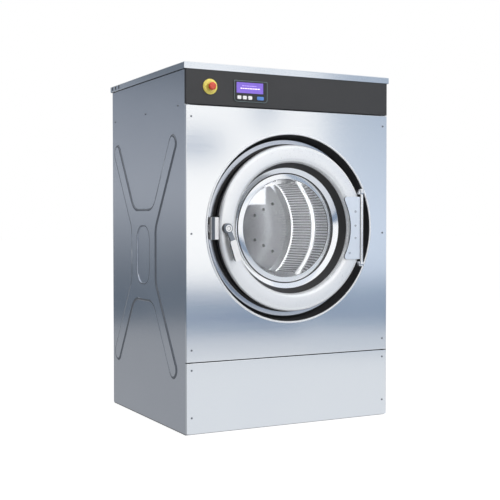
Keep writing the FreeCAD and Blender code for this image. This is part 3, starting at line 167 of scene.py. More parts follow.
# %% [markdown]
# ## Stainless sheet
#
# The cabinet is brushed stainless steel. Its grain runs along the sheet as very long, fine
# scratches, which a noise stretched far along one direction gives. The sheet also clouds a
# little from cleaning, so a broad noise moves its roughness and its tint. A row of the table
# holds the light and the dark tint, the roughness and the stretch of the grain.

# %% Brushed steel
FINE_SHARE = 0.3
FINE_DETAIL = 3.0
STEEL_CLOUD = 2.2
GRAIN_ROUGH = 0.05
CLOUD_ROUGH = 0.03
GRAIN_BUMP = 0.04
GRAIN_DEPTH = 0.2 * MM


def brushed_steel(name, light, dark, rough, stretch):
    """Steel with fine grain and a slow cloud of wear."""
    made = Finish(name)
    grain = made.place.scaled(*stretch).noise(1.0, FINE_DETAIL)
    cloud = made.place.noise(STEEL_CLOUD)
    tint = ((1 - FINE_SHARE) * cloud + FINE_SHARE * grain).clamped()
    smoothest = rough - (GRAIN_ROUGH + CLOUD_ROUGH) / 2
    return made.set(
        Base_Color=tint.blend(dark, light),
        Metallic=1.0,
        Roughness=smoothest + GRAIN_ROUGH * grain + CLOUD_ROUGH * cloud,
        Normal=grain.bump(GRAIN_BUMP, GRAIN_DEPTH),
    )


ALONG_X = (1.5, 1.5, 900.0)
ALONG_Y = (260.0, 2.0, 260.0)
STEELS = {
    "stainless_panel": ((0.99, 1.0, 1.0), (0.93, 0.95, 0.98), 0.13, ALONG_X),
    "stainless_side": ((0.88, 0.90, 0.93), (0.78, 0.80, 0.84), 0.20, ALONG_X),
    # Darker, rougher steel that paints shade along the pressed cross on the side panels.
    "swage_steel": ((0.34, 0.355, 0.38), (0.27, 0.285, 0.31), 0.45, ALONG_X),
    "tub_steel": ((0.62, 0.64, 0.66), (0.50, 0.52, 0.54), 0.36, ALONG_X),
    "drum_steel": ((0.90, 0.90, 0.91), (0.80, 0.81, 0.82), 0.34, ALONG_Y),
    "polished_steel": ((0.97, 0.98, 1.0), (0.92, 0.94, 0.97), 0.15, ALONG_Y),
    "drum_mirror": ((0.66, 0.67, 0.70), (0.58, 0.59, 0.62), 0.20, ALONG_Y),
    "frame_steel": ((0.66, 0.69, 0.75), (0.58, 0.61, 0.67), 0.16, ALONG_Y),
    "bearing_steel": ((0.70, 0.71, 0.72), (0.58, 0.59, 0.60), 0.20, ALONG_Y),
    "screw_steel": ((0.34, 0.35, 0.37), (0.24, 0.25, 0.27), 0.32, ALONG_Y),
}
for name, values in STEELS.items():
    finishes[name] = brushed_steel(name, *values)
print("steels:", ", ".join(finishes))

# %% [markdown]
# ## Paint, castings and rubber
#
# Powder paint, iron castings and moulded rubber have no grain, but they are never smooth: they
# show a fine pebbled skin. A dense noise drives the bump, and a slower one breaks up the colour.
# A row of the table holds the two tints, the roughness, the size and depth of the pebbles in
# millimetres and, where there is any, how metallic the skin is and how much clear coat it has.

# %% Pebbled skins
SKIN_CLOUD = 9.0
SKIN_ROUGH = 0.16
SKIN_BUMP = 0.25


def pebbled(name, light, dark, rough, size, depth, metal=0.0, coat=0.0):
    """A skin of fine pebbles under a slow cloud of colour."""
    made = Finish(name)
    skin = made.place.noise(1.0 / (size * MM), FINE_DETAIL)
    cloud = made.place.noise(SKIN_CLOUD, FINE_DETAIL)
    tint = ((1 - FINE_SHARE) * cloud + FINE_SHARE * skin).clamped()
    return made.set(
        Base_Color=tint.blend(dark, light),
        Metallic=metal,
        Roughness=(rough - SKIN_ROUGH / 2 + SKIN_ROUGH * skin).clamped(),
        Coat_Weight=coat,
        Normal=skin.bump(SKIN_BUMP, depth * MM),
    )


SKINS = {
    "fascia_paint": ((0.042, 0.042, 0.044), (0.031, 0.031, 0.033), 0.45, 1.2, 0.1),
    "frame_paint": ((0.17, 0.18, 0.19), (0.12, 0.13, 0.14), 0.5, 2.0, 0.2),
    "cast_parts": ((0.13, 0.14, 0.15), (0.08, 0.085, 0.09), 0.6, 3.0, 0.4, 0.4),
    # Dark sides of the lever and the hinge plate: painted shade.
    "lever_casting": ((0.075, 0.08, 0.088), (0.05, 0.054, 0.06), 0.4, 2.0, 0.1, 0.5),
    # Near-white and partly diffuse: a painted sheen for polished steel, on the door ring, the opening's
    # rim and the hinge plate's bevels.
    "satin_white": ((1.0, 1.0, 1.0), (0.96, 0.98, 1.0), 0.30, 2.0, 0.01, 0.6),
    "satin_blue": ((0.86, 0.92, 1.0), (0.80, 0.86, 0.95), 0.36, 2.0, 0.02, 0.55),
    # Near-white and nearly diffuse: a painted sheen for the steel of the lever's front, the lock's keeper
    # and the drum's beads.
    "keeper_paint": ((0.98, 0.98, 1.0), (0.92, 0.93, 0.95), 0.30, 2.0, 0.02, 0.1),
    # Dark strips for the drum's slots: painted shade of the tub seen through them.
    "drum_slot": ((0.11, 0.11, 0.12), (0.08, 0.08, 0.085), 0.6, 2.0, 0.05),
    # Grey on the slanted faces of the lever and the keeper: painted shade.
    "satin_grey": ((0.24, 0.27, 0.31), (0.18, 0.20, 0.24), 0.38, 2.0, 0.05, 0.5),
    "motor_alloy": ((0.24, 0.27, 0.30), (0.17, 0.19, 0.22), 0.5, 2.5, 0.3, 0.3),
    "black_rubber": ((0.042, 0.040, 0.041), (0.024, 0.023, 0.024), 0.5, 1.5, 0.1),
    "bezel_plastic": ((0.030, 0.031, 0.034), (0.020, 0.021, 0.023), 0.38, 1.0, 0.05),
    "stem_plastic": ((0.13, 0.135, 0.14), (0.09, 0.095, 0.10), 0.5, 1.5, 0.1),
    "white_key": ((0.98, 0.98, 1.0), (0.92, 0.93, 0.96), 0.3, 1.0, 0.02),
    "blue_key": ((0.13, 0.32, 0.82), (0.09, 0.24, 0.68), 0.3, 1.0, 0.02),
    "yellow_plastic": ((0.92, 0.80, 0.17), (0.82, 0.69, 0.11), 0.32, 1.2, 0.05, 0.0, 0.3),
    "red_plastic": ((0.80, 0.09, 0.04), (0.64, 0.06, 0.03), 0.25, 1.2, 0.05, 0.0, 0.5),
    "inlet_brass": ((0.80, 0.58, 0.26), (0.62, 0.43, 0.17), 0.32, 3.0, 0.1, 1.0),
    # A painted highlight for the edge of the display's bezel.
    "line_grey": ((0.20, 0.27, 0.28), (0.15, 0.21, 0.22), 0.4, 1.0, 0.05),
    "slot_shadow": ((0.05, 0.05, 0.055), (0.03, 0.03, 0.033), 0.7, 2.0, 0.1),
}
for name, values in SKINS.items():
    finishes[name] = pebbled(name, *values)
print("skins:", ", ".join(SKINS))

# %% [markdown]
# ## Glass and the display
#
# The door glass is a clear bowl of even thickness, so it hardly bends what is seen through it: the
# body has next to no refraction, and a clear coat gives the surface's own reflection. The display
# glows violet. Its light rows are plain bars and say nothing.

# %% Clear glass
SMEAR_SCALE = 6.0
GLASS_ROUGH = 0.01
SMEAR_ROUGH = 0.02


def clear_glass(name):
    made = Finish(name)
    smear = made.place.noise(SMEAR_SCALE)
    return made.set(
        Base_Color=(0.97, 0.985, 0.985),
        Roughness=GLASS_ROUGH + SMEAR_ROUGH * smear,
        Transmission_Weight=1.0,
        IOR=1.02,
        Coat_Weight=1.0,
    )


finishes["door_glass"] = clear_glass("door_glass")
print("glass:", finishes["door_glass"].name)

# %% Glowing display
GLOW_SCALE = 30.0


def glowing(name, light, dark, strength):
    made = Finish(name)
    glow = made.place.noise(GLOW_SCALE).blend(dark, light)
    return made.set(
        Base_Color=glow,
        Emission_Color=glow,
        Emission_Strength=strength,
        Roughness=0.15,
    )


GLOWS = {
    "display": ((0.21, 0.13, 0.58), (0.15, 0.09, 0.46), 0.55),
    "display_rows": ((0.92, 0.82, 0.95), (0.84, 0.74, 0.92), 0.75),
    "display_faint": ((0.50, 0.38, 0.84), (0.42, 0.31, 0.78), 0.6),
}
for name, values in GLOWS.items():
    finishes[name] = glowing(name, *values)
print("glowing:", ", ".join(GLOWS))

# %% [markdown]
# ## Dressing the solids
#
# The record names a material slot for every node, and most finishes carry a slot's name, so one
# loop dresses the whole machine. Four nodes differ: the sides and the back are duller than the
# front, and the drum's back is smoother than its wall.

# %% Give every CAD node its finish
slot_of = {row["node"]: row["material_slot"] for row in frame["record"]["subparts"]}
SPECIAL = {
    "left_side_panel": "stainless_side", "right_side_panel": "stainless_side",
    "rear_panel": "stainless_side", "drum_back": "drum_mirror",
}
for name, node in nodes.items():
    node.data.materials.clear()
    node.data.materials.append(finishes[SPECIAL.get(name, slot_of[name])])
print("dressed", len(nodes), "nodes")

# %% [markdown]
# ## Turned pieces
#
# The door, its glass and its rings are spun or turned. The solids hold their rolled edges in a
# few flats, so here the same outlines are turned again with true rounds, and stand for the
# solids. An outline is a list of corners in millimetres: radius, depth behind the front face and,
# where it is round, the bend.

# %% Meshes and objects
MERGE = 1e-6
SHARP_TURN = math.radians(35)


@contextmanager
def editing(mesh):
    """Opens a mesh for changes, and keeps them when the block ends."""
    shape = bmesh.new()
    shape.from_mesh(mesh)
    yield shape
    shape.to_mesh(mesh)
    shape.free()


def placed(name, data):
    """A new object at the origin."""
    made = bpy.data.objects.new(name, data)
    bpy.context.scene.collection.objects.link(made)
    return made


def plain_mesh(piece):
    """What a piece's modifiers make of it, as a mesh of its own."""
    graph = bpy.context.evaluated_depsgraph_get()
    return bpy.data.meshes.new_from_object(piece.evaluated_get(graph))


def finish_mesh(mesh, name, finish):
    """A new object from a mesh, smooth but for its sharp edges."""
    with editing(mesh) as shape:
        bmesh.ops.remove_doubles(shape, verts=shape.verts, dist=MERGE)
        bmesh.ops.recalc_face_normals(shape, faces=shape.faces)
        for face in shape.faces:
            face.smooth = True
        for edge in shape.edges:
            edge.smooth = edge.is_manifold and edge.calc_face_angle(0) < SHARP_TURN
    mesh.materials.clear()
    mesh.materials.append(finishes[finish])
    return placed(name, mesh)


print("edges that turn over", round(math.degrees(SHARP_TURN)), "degrees stay sharp")

# %% Outlines with round corners
BEND_STEPS = 7


def rounded(corners):
    """Replaces each corner that has a bend by the arc that touches both its lines."""
    points = []
    for i, corner in enumerate(corners):
        here = Vector(corner[:2])
        if len(corner) == 2:
            points.append(here)
            continue
        back = (Vector(corners[i - 1][:2]) - here).normalized()
        ahead = (Vector(corners[(i + 1) % len(corners)][:2]) - here).normalized()
        half = back.angle(ahead) / 2
        start = here + back * corner[2] / math.tan(half)
        middle = here + (back + ahead).normalized() * corner[2] / math.sin(half)
        arm = start - middle
        sweep = math.pi - 2 * half
        if back.cross(ahead) > 0:
            sweep = -sweep
        for step in range(BEND_STEPS + 1):
            points.append(middle + Matrix.Rotation(sweep * step / BEND_STEPS, 2) @ arm)
    return points


print("a bend has", BEND_STEPS, "steps")

# %% Turning an outline
TURN_STEPS = 192
door_centre = Vector((0, front, axis_height))


def turned(name, corners, finish, centre=door_centre, steps=TURN_STEPS):
    """Turns an outline about a line along Y through the centre."""
    outline = rounded(corners)
    count = len(outline)
    points = []
    faces = []
    for turn in range(steps):
        angle = 2 * math.pi * turn / steps
        this = turn * count
        after = (turn + 1) % steps * count
        for i, (radius, depth) in enumerate(outline):
            place = Vector((radius * math.sin(angle), depth, radius * math.cos(angle)))
            points.append(centre + place * MM)
            j = (i + 1) % count
            if radius > 0 or outline[j].x > 0:
                faces.append((this + i, this + j, after + j, after + i))
    mesh = bpy.data.meshes.new(name)
    mesh.from_pydata(points, [], faces)
    with editing(mesh) as shape:
        bmesh.ops.remove_doubles(shape, verts=shape.verts, dist=MERGE)
        bmesh.ops.dissolve_degenerate(shape, edges=shape.edges, dist=MERGE / 10)
    return finish_mesh(mesh, name, finish)


def add_on(piece, body):
    """The piece rides on a body."""
    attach(piece, body)
    print(piece.name, "rides on", body)


bodies = frame["record"]["behaviour"]["bodies"]
body_of = {node: body for body, group in bodies.items() for node in group}


def stand_for(piece, node):
    """The piece rides in the place of a CAD node, on that node's body."""
    add_on(piece, body_of[node])
    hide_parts(node)


print("a full turn has", TURN_STEPS, "steps")

# %% [markdown]
# ### Door ring
#
# The door is one spun ring with a wide rolled crown, which stands a little past the skirt. A window
# in the skirt lets the lock's tongue out, so a box is cut from the turned ring with a Boolean
# modifier. A black rubber lip clips over the skirt's edge.

# %% Door ring
SKIRT_RADIUS = 312
SKIRT_END = 6
CROWN_RADIUS = 316
CROWN_FRONT = -24
BORE_RADIUS = 249.5
BORE_END = 4
RING_SHEET = 2.5
STEP_FRONT = -6
STEP_BACK = -1
STEP_BEND = 2
CROWN_BEND = 15
BORE_BEND = 16
SKIRT_BEND = 19.5
WINDOW_LOW = Vector((-320, -13, -10))
WINDOW_HIGH = Vector((-290, 10, 47))
bore_back = BORE_RADIUS + RING_SHEET
skirt_back = SKIRT_RADIUS - RING_SHEET
crown_back = CROWN_FRONT + RING_SHEET
# The ring's steel takes a near-white, partly diffuse finish: a painted sheen for its bright reflection.
door_ring = turned("door_ring_spun", [
    (SKIRT_RADIUS, SKIRT_END), (SKIRT_RADIUS, STEP_BACK, STEP_BEND), (CROWN_RADIUS, STEP_FRONT, STEP_BEND),
    (CROWN_RADIUS, CROWN_FRONT, CROWN_BEND), (BORE_RADIUS, CROWN_FRONT, BORE_BEND),
    (BORE_RADIUS, BORE_END), (bore_back, BORE_END), (bore_back, crown_back, BORE_BEND - RING_SHEET),
    (skirt_back, crown_back, SKIRT_BEND), (skirt_back, SKIRT_END),
], "satin_white")


def cut_window(piece):
    """Cuts the window for the lock's tongue out of a piece."""
    bpy.ops.mesh.primitive_cube_add(size=1)
    cutter = bpy.context.object
    cutter.data.transform(Matrix.Diagonal((*(WINDOW_HIGH - WINDOW_LOW) * MM, 1)))
    cutter.data.transform(Matrix.Translation(door_centre + (WINDOW_LOW + WINDOW_HIGH) / 2 * MM))
    boolean = piece.modifiers.new("window", "BOOLEAN")
    boolean.object = cutter
    boolean.solver = "EXACT"
    mesh = plain_mesh(piece)
    piece.modifiers.clear()
    piece.data = mesh
    bpy.data.objects.remove(cutter)


cut_window(door_ring)
stand_for(door_ring, "door_ring")

# %% Rubber lip on the skirt
LIP_PROUD = 0.6
LIP_ROUND = 0.3
LIP_SEAT = 0.1
LIP_SUNK = 0.4
lip_outer = SKIRT_RADIUS + LIP_PROUD
lip_inner = SKIRT_RADIUS - LIP_SUNK
lip_hook = skirt_back + LIP_SEAT
skirt_lip = turned("door_skirt_lip", [
    (lip_inner, STEP_FRONT), (lip_outer, STEP_FRONT, LIP_ROUND),
    (lip_outer, SKIRT_END + LIP_PROUD, LIP_ROUND), (lip_hook, SKIRT_END + LIP_PROUD),
    (lip_hook, SKIRT_END - LIP_SEAT), (lip_inner, SKIRT_END - LIP_SEAT),
], "black_rubber")
cut_window(skirt_lip)
add_on(skirt_lip, "door")

# %% [markdown]
# ### Rings and glass
#
# Behind the crown, two bright rings clamp the glass into its black seal. The glass itself is a
# shallow bowl that bulges into the drum and keeps the laundry off the seal. A ring's row holds the
# radius, the rise over the seal and the bend of its inner and its outer edge. The glass is equally
# thick all over, so its back is its front moved by the wall.

# %% Clamp rings
SEAL_FACE = 44
RINGS = {
    "glass_clamp_ring": ((212.5, 1, 0.5), (232.5, 13, 1.6)),
    "glass_retainer": ((189, 5.5, 1.2), (208, 1.5, 0.5)),
}
for node, edges in RINGS.items():
    inner_radius, outer_radius = edges[0][0], edges[1][0]
    outline = [(radius, SEAL_FACE - rise, bend) for radius, rise, bend in edges]
    outline += [(outer_radius, SEAL_FACE), (inner_radius, SEAL_FACE)]
    stand_for(turned(node + "_turned", outline, "polished_steel"), node)

# %% Glass bowl
GLASS_WALL = 8
GLASS_RIM = 228
GLASS_FRONT = 48
BOWL_MOUTH = 185
BOWL_FLOOR = 168
BOWL_DEPTH = 92
BOWL_BEND = 22
EDGE_ROUND = 1
MOUTH_BEND = 10
MOUTH_BACK_BEND = 5
glass_back = GLASS_FRONT + GLASS_WALL
bowl_back = BOWL_DEPTH + GLASS_WALL
glass = turned("door_glass_bowl", [
    (GLASS_RIM, GLASS_FRONT, EDGE_ROUND), (GLASS_RIM, glass_back, EDGE_ROUND),
    (BOWL_MOUTH + GLASS_WALL, glass_back, MOUTH_BACK_BEND),
    (BOWL_FLOOR + GLASS_WALL, bowl_back, BOWL_BEND + GLASS_WALL), (0, bowl_back),
    (0, BOWL_DEPTH), (BOWL_FLOOR, BOWL_DEPTH, BOWL_BEND), (BOWL_MOUTH, GLASS_FRONT, MOUTH_BEND),
], "door_glass")
stand_for(glass, "door_glass")

# %% [markdown]
# ### Door frame and opening
#
# The door shuts against a polished ring with a rolled outer edge. The panel's opening has a bright
# rolled rim, which is laid over the panel's own, and the black splash seal's lip lines it. A flat
# black rubber strip on the ring, round the door's gasket, paints the dark band of shade there. A
# rubber band's row holds the two corners of its front and the depth of its back.

# %% Door frame ring
FRAME_BORE = 272
FRAME_RADIUS = 343
FRAME_FACE = 33
FRAME_END = 45
FRAME_SHEET = 3
FRAME_BEND = 8
FRAME_ROUND = 0.8
frame_back = FRAME_FACE + FRAME_SHEET
frame_inner = FRAME_RADIUS - FRAME_SHEET
frame_ring = turned("door_frame_ring_spun", [
    (FRAME_BORE, FRAME_FACE, FRAME_ROUND), (FRAME_RADIUS, FRAME_FACE, FRAME_BEND),
    (FRAME_RADIUS, FRAME_END), (frame_inner, FRAME_END),
    (frame_inner, frame_back, FRAME_BEND - FRAME_SHEET), (FRAME_BORE, frame_back),
], "frame_steel")
stand_for(frame_ring, "door_frame_ring")

# %% Opening and rubber strips
RIM_INNER = 355.1
RIM_OUTER = 362.8
RIM_PROUD = -4.2
RIM_BEND = 3.2
RIM_FOOT = 357.2
RIM_SEAT = -0.1
RIM_TURN = -0.3
# The rim takes the same finish: a painted highlight round the opening.
rim = turned("opening_rim", [
    (RIM_INNER, RIM_TURN), (RIM_INNER, RIM_PROUD, RIM_BEND), (RIM_OUTER, RIM_PROUD, RIM_BEND),
    (RIM_OUTER, RIM_SEAT), (RIM_FOOT, RIM_SEAT),
], "satin_white")
add_on(rim, "cabinet")
BANDS = {
    "splash_seal_lip": ((354.7, -0.8, 0.2), (355.3, -0.8), 12),
    # The frame strip is a painted shade for the dark band round the door's gasket.
    "frame_seal_strip": ((311.6, 32.3), (322, 32.3, 0.3), 33.1),
}
for name, (inner, outer, end) in BANDS.items():
    band = turned(name, [inner, outer, (outer[0], end), (inner[0], end)], "black_rubber")
    add_on(band, "cabinet")

# %% [markdown]
# ### Stop button
#
# A yellow collar and a red mushroom head. Both are mouldings, so their edges are soft. They are
# turned like the door's rings, about the button's own centre, and fewer steps do for their size.

# %% Stop button
BUTTON_STEPS = 72
STEM_BORE = 9.3
NECK_RADIUS = 14
NECK_END = 12
COLLAR_RADIUS = 28.4
COLLAR_CROWN = 20
COLLAR_FACE = -7
COLLAR_EDGE = -3
COLLAR_BEND = 1.6
COLLAR_ROUND = 0.6
HEAD_RADIUS = 14.4
HEAD_FACE = -28
HEAD_BACK = -13
HEAD_EDGE = -16
HEAD_NECK = 11
HEAD_BEND = 6
HEAD_ROUND = 2.5
collar_low, collar_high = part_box("e_stop_collar")
stop_centre = (Vector(collar_low) + Vector(collar_high)) / 2
stop_centre.y = front
collar = turned("e_stop_collar_moulded", [
    (STEM_BORE, COLLAR_FACE, COLLAR_ROUND), (COLLAR_CROWN, COLLAR_FACE, COLLAR_BEND),
    (COLLAR_RADIUS, COLLAR_EDGE, COLLAR_BEND), (COLLAR_RADIUS, 0), (NECK_RADIUS, 0),
    (NECK_RADIUS, NECK_END), (STEM_BORE, NECK_END),
], "yellow_plastic", stop_centre, BUTTON_STEPS)
stand_for(collar, "e_stop_collar")
head = turned("e_stop_head_moulded", [
    (0, HEAD_FACE), (HEAD_RADIUS, HEAD_FACE, HEAD_BEND), (HEAD_RADIUS, HEAD_EDGE, HEAD_ROUND),
    (HEAD_NECK, HEAD_BACK), (0, HEAD_BACK),
], "red_plastic", stop_centre, BUTTON_STEPS)
stand_for(head, "e_stop_head")

# %% [markdown]
# ## Softened edges
#
# Pressed and machined pieces have edges that catch the light. A copy of each solid is merged,
# its flat triangles are dissolved into whole faces, and a Bevel modifier rounds what is left. The
# large faces are shaded flat, or the bevels would bend their reflections.

# %% Bevelled copies of the solids
CAD_MERGE = 2e-6
FLAT_TURN = math.radians(1)
EDGE_TURN = math.radians(40)
FLAT_AREA = 20 * MM * MM
FLAT_SHAPE = 0.003


def whole_faces(shape):
    """Merges a solid's loose triangles and dissolves them into whole flat faces."""
    bmesh.ops.remove_doubles(shape, verts=shape.verts, dist=CAD_MERGE)
    bmesh.ops.dissolve_limit(shape, angle_limit=FLAT_TURN, verts=shape.verts, edges=shape.edges)


def flatten_flats(mesh):
    """Large faces that aren't slivers of a round are shaded flat, so bevels don't bend them."""
    for face in mesh.polygons:
        corners = [mesh.vertices[i].co for i in face.vertices]
        outline = sum((a - b).length for a, b in zip(corners, corners[1:] + corners[:1]))
        if face.area > FLAT_AREA and face.area > FLAT_SHAPE * outline ** 2:
            face.use_smooth = False


def softened(node, width):
    """A copy of a node with its edges rounded."""
    mesh = nodes[node].data.copy()
    with editing(mesh) as shape:
        whole_faces(shape)
    holder = placed(node + "_holder", mesh)
    bevel = holder.modifiers.new("edges", "BEVEL")
    bevel.width = width
    bevel.segments = 2
    bevel.limit_method = "ANGLE"
    bevel.angle_limit = EDGE_TURN
    bevel.use_clamp_overlap = True
    made = plain_mesh(holder)
    bpy.data.objects.remove(holder)
    piece = finish_mesh(made, node + "_edged", slot_of[node])
    flatten_flats(piece.data)
    return piece


print("edges that turn over", round(math.degrees(EDGE_TURN)), "degrees are bevelled")

# %% [markdown]
# ### Levers, keys and trim
#
# The lever, the hinge plate and the lock's keeper have light and shade painted on them face by face:
# the fronts are light, the slanted faces of the lever and the keeper take a painted grey shade, the
# sides of the lever and the hinge plate a painted dark shade, and the hinge plate's bevels a painted
# white highlight. A face's normal says which way it looks, so it also says which finish the face
# gets. The bevel's width is in millimetres.

# %% Levers, keys and trim
EDGES = {
    "door_handle": 1.4, "hinge_plate": 3.0, "hinge_lug_upper": 1.5, "hinge_lug_lower": 1.5,
    "lock_keeper": 1.2, "top_lid": 1.0, "display_bezel": 0.7,
    "key_1": 0.5, "key_2": 0.5, "key_3": 0.5, "key_start": 0.5,
}
# Front, slanted and side finish: light and shade painted by which way a face looks.
FACING_LIGHT_FINISH = {
    "door_handle": ("keeper_paint", "satin_grey", "lever_casting"),
    "hinge_plate": ("satin_blue", "satin_white", "lever_casting"),
    "lock_keeper": ("keeper_paint", "satin_grey", "keeper_paint"),
}
FLAT_FRONT = -0.97
SLANT_FRONT = -0.5


def paint_light_by_facing(piece, front_finish, slant_finish, side_finish):
    """Paints light and shade by facing: one finish for the faces that look to the front, one for slanted
    faces, one for the rest.
    """
    piece.data.materials.clear()
    for finish in (front_finish, slant_finish, side_finish):
        piece.data.materials.append(finishes[finish])
    for face in piece.data.polygons:
        facing = face.normal.y
        face.material_index = 0 if facing < FLAT_FRONT else 1 if facing < SLANT_FRONT else 2


for node, width in EDGES.items():
    edged = softened(node, width * MM)
    if node in FACING_LIGHT_FINISH:
        paint_light_by_facing(edged, *FACING_LIGHT_FINISH[node])
    stand_for(edged, node)

# %% [markdown]
# ### Pressed cross
#
# The side panels are stiffened by a cross that is pressed into the sheet. A press leaves no sharp
# corners, and it is the roll at the foot and the crown of each wall that draws the light and dark
# lines. So only the edges between faces that look outwards are bevelled, on a merged copy. The walls
# and a strip beside them on the crown also get a darker, rougher steel, which paints shade along the
# lines. Without the strip on the crown, a wall that looks away would draw no line at all.

# %% Painted shade along the cross
WALL_LOW = 0.5
WALL_HIGH = 0.985
CROWN_STRIP = 4.5 * MM
CROWN_RISE = 2 * MM
side_face = abs(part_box("control_fascia")[0][0])


def painted_shade_cross(mesh, outwards):
    """Painted shade, the second finish, on the cross's walls and on a strip along the edge of its crown.
    """
    with editing(mesh) as shape:
        crown = []
        for face in shape.faces:
            lean = face.normal.x * outwards
            face.material_index = 1 if WALL_LOW < lean < WALL_HIGH else 0
            if lean >= WALL_HIGH and face.calc_center_median().x * outwards > side_face + CROWN_RISE:
                crown.append(face)
        cut = bmesh.ops.triangulate(shape, faces=crown)
        strip = bmesh.ops.inset_region(
            shape, faces=cut["faces"], thickness=CROWN_STRIP, use_even_offset=True, use_boundary=True)
        for face in strip["faces"]:
            face.material_index = 1
        print(len(strip["faces"]), "faces along the crown")


print("cabinet's side at", round(side_face, 4))

# %% Side panels with a rolled cross
SWAGE_TURN = math.radians(20)
SWAGE_ROLL = 1.6 * MM
SWAGE_STEPS = 3


def rolled_panel(node, outwards):
    """A copy of a side panel whose pressed edges are rolled."""
    mesh = nodes[node].data.copy()
    with editing(mesh) as shape:
        whole_faces(shape)
        rolled = []
        for edge in shape.edges:
            if edge.is_manifold and edge.calc_face_angle(0) > SWAGE_TURN:
                if all(face.normal.x * outwards > WALL_LOW for face in edge.link_faces):
                    rolled.append(edge)
        print(node, len(rolled), "edges rolled")
        bmesh.ops.bevel(
            shape, geom=rolled, offset=SWAGE_ROLL, segments=SWAGE_STEPS, profile=0.5,
            affect="EDGES", clamp_overlap=True)
    piece = finish_mesh(mesh, node + "_rolled", "stainless_side")
    piece.data.materials.append(finishes["swage_steel"])
    painted_shade_cross(piece.data, outwards)
    flatten_flats(piece.data)
    stand_for(piece, node)


rolled_panel("left_side_panel", -1)
rolled_panel("right_side_panel", 1)

# %% [markdown]
# ## Trees for what repeats
#
# Screws, bolts and the drum's slots repeat, so Geometry Nodes make them. Both trees take points
# and sizes as named inputs, and both end alike: the instances are made real, because the export
# keeps none, and get their finish. A small class holds what they share, and the sockets' own
# method adds the nodes, as it does for a finish.

# %% A tree with named inputs
INPUT_KINDS = {"Count": "Int", "Turn": "Vector", "Finish": "Material", "Geometry": "Geometry"}


class Tree:
    """A Geometry Nodes tree. An input that isn't named above is a plain number."""

    def __init__(self, name, inputs):
        self.group = bpy.data.node_groups.new(name, "GeometryNodeTree")
        new_socket = self.group.interface.new_socket
        for label in ("Geometry", *inputs, "Finish"):
            kind = "NodeSocket" + INPUT_KINDS.get(label, "Float")
            new_socket(label, in_out="INPUT", socket_type=kind)
        new_socket("Geometry", in_out="OUTPUT", socket_type="NodeSocketGeometry")
        given = self.group.nodes.new("NodeGroupInput").outputs
        self.given = {output.name: Socket(self.group, output) for output in given}

    def close(self, instances):
        """Makes the instances real, gives them their finish and ends the tree."""
        real = instances.node("GeometryNodeRealizeInstances", None, {"Geometry": instances})
        inputs = {"Geometry": real, "Material": self.given["Finish"]}
        dressed = real.node("GeometryNodeSetMaterial", None, inputs)
        result = self.group.nodes.new("NodeGroupOutput")
        self.group.links.new(dressed.output, result.inputs["Geometry"])
        print(self.group.name, "has", len(self.group.nodes), "nodes")

    def run(self, name, points, values, finish):
        """Runs the tree on loose points and keeps the result as a plain mesh."""
        values = {**values, "Finish": finishes[finish]}
        mesh = bpy.data.meshes.new(name)
        mesh.from_pydata(points, [], [])
        holder = placed(name + "_points", mesh)
        modifier = holder.modifiers.new("tree", "NODES")
        modifier.node_group = self.group
        for item in self.group.interface.items_tree:
            if item.in_out == "INPUT" and item.name in values:
                modifier[item.identifier] = values[item.name]
        made = plain_mesh(holder)
        bpy.data.objects.remove(holder)
        return finish_mesh(made, name, finish)


print("inputs that aren't plain numbers:", ", ".join(INPUT_KINDS))

# %% [markdown]
# ### Screws and bolts
#
# The panels are held by small round screws, the hinge by four bolts. A tapered cylinder is put on
# every point and turned to face outwards.

# %% A tree for fasteners
SCREW_SIDES = 20
SCREW_TAPER = 0.72
fasteners = Tree("fasteners", ("Radius", "Height", "Turn"))
given = fasteners.given
add = given["Geometry"].node
screw_head = add("GeometryNodeMeshCone", None, {
    "Vertices": SCREW_SIDES, "Side Segments": 1, "Radius Top": SCREW_TAPER * given["Radius"],
    "Radius Bottom": given["Radius"], "Depth": given["Height"],
})
fasteners.close(add("GeometryNodeInstanceOnPoints", None, {
    "Points": given["Geometry"], "Instance": screw_head, "Rotation": given["Turn"],
}))

# %% Screws on the panels
QUARTER = math.pi / 2
TO_FRONT = (QUARTER, 0, 0)
TO_BACK = (-QUARTER, 0, 0)
TO_LEFT = (0, -QUARTER, 0)
TO_RIGHT = (0, QUARTER, 0)
PANEL_SCREW_SIDE = 0.4192
PANEL_SCREW_HEIGHTS = (1.1601, 0.7351, 0.3108, 0.2372, 0.0636)
SIDE_SCREW_DEPTHS = (0.0727, 0.3926, 0.7402)
SIDE_SCREW_HEIGHT = 1.2046
REAR_SCREW_SIDE = 0.422
REAR_SCREW_HEIGHTS = (0.05, 0.48, 0.90, 1.31)
back_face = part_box("rear_panel")[1][1]


def screws(name, body, points, turn, radius=4.2 * MM, height=2.4 * MM, finish="screw_steel"):
    values = {"Radius": radius, "Height": height, "Turn": turn}
    add_on(fasteners.run(name, points, values, finish), body)


screws("panel_screws", "cabinet", [
    (side * PANEL_SCREW_SIDE, front, z) for side in (-1, 1) for z in PANEL_SCREW_HEIGHTS], TO_FRONT)
for name, side, turn in (("side_screws_left", -1, TO_LEFT), ("side_screws_right", 1, TO_RIGHT)):
    screws(name, "cabinet", [
        (side * side_face, front + depth, SIDE_SCREW_HEIGHT) for depth in SIDE_SCREW_DEPTHS], turn)
screws("rear_screws", "cabinet", [
    (side * REAR_SCREW_SIDE, back_face, z) for side in (-1, 1) for z in REAR_SCREW_HEIGHTS], TO_BACK)

# %% Bolts on the hinge plate
hinge_face = front - 30 * MM
BOLT_COLUMN = 271.0
HINGE_BOLTS = ((BOLT_COLUMN, 819.0), (BOLT_COLUMN, 764.0), (BOLT_COLUMN, 716.0), (243.5, 657.0))
screws("hinge_bolts", "door", [(x * MM, hinge_face, z * MM) for x, z in HINGE_BOLTS], TO_FRONT,
       radius=5.0 * MM, height=3.0 * MM, finish="bearing_steel")
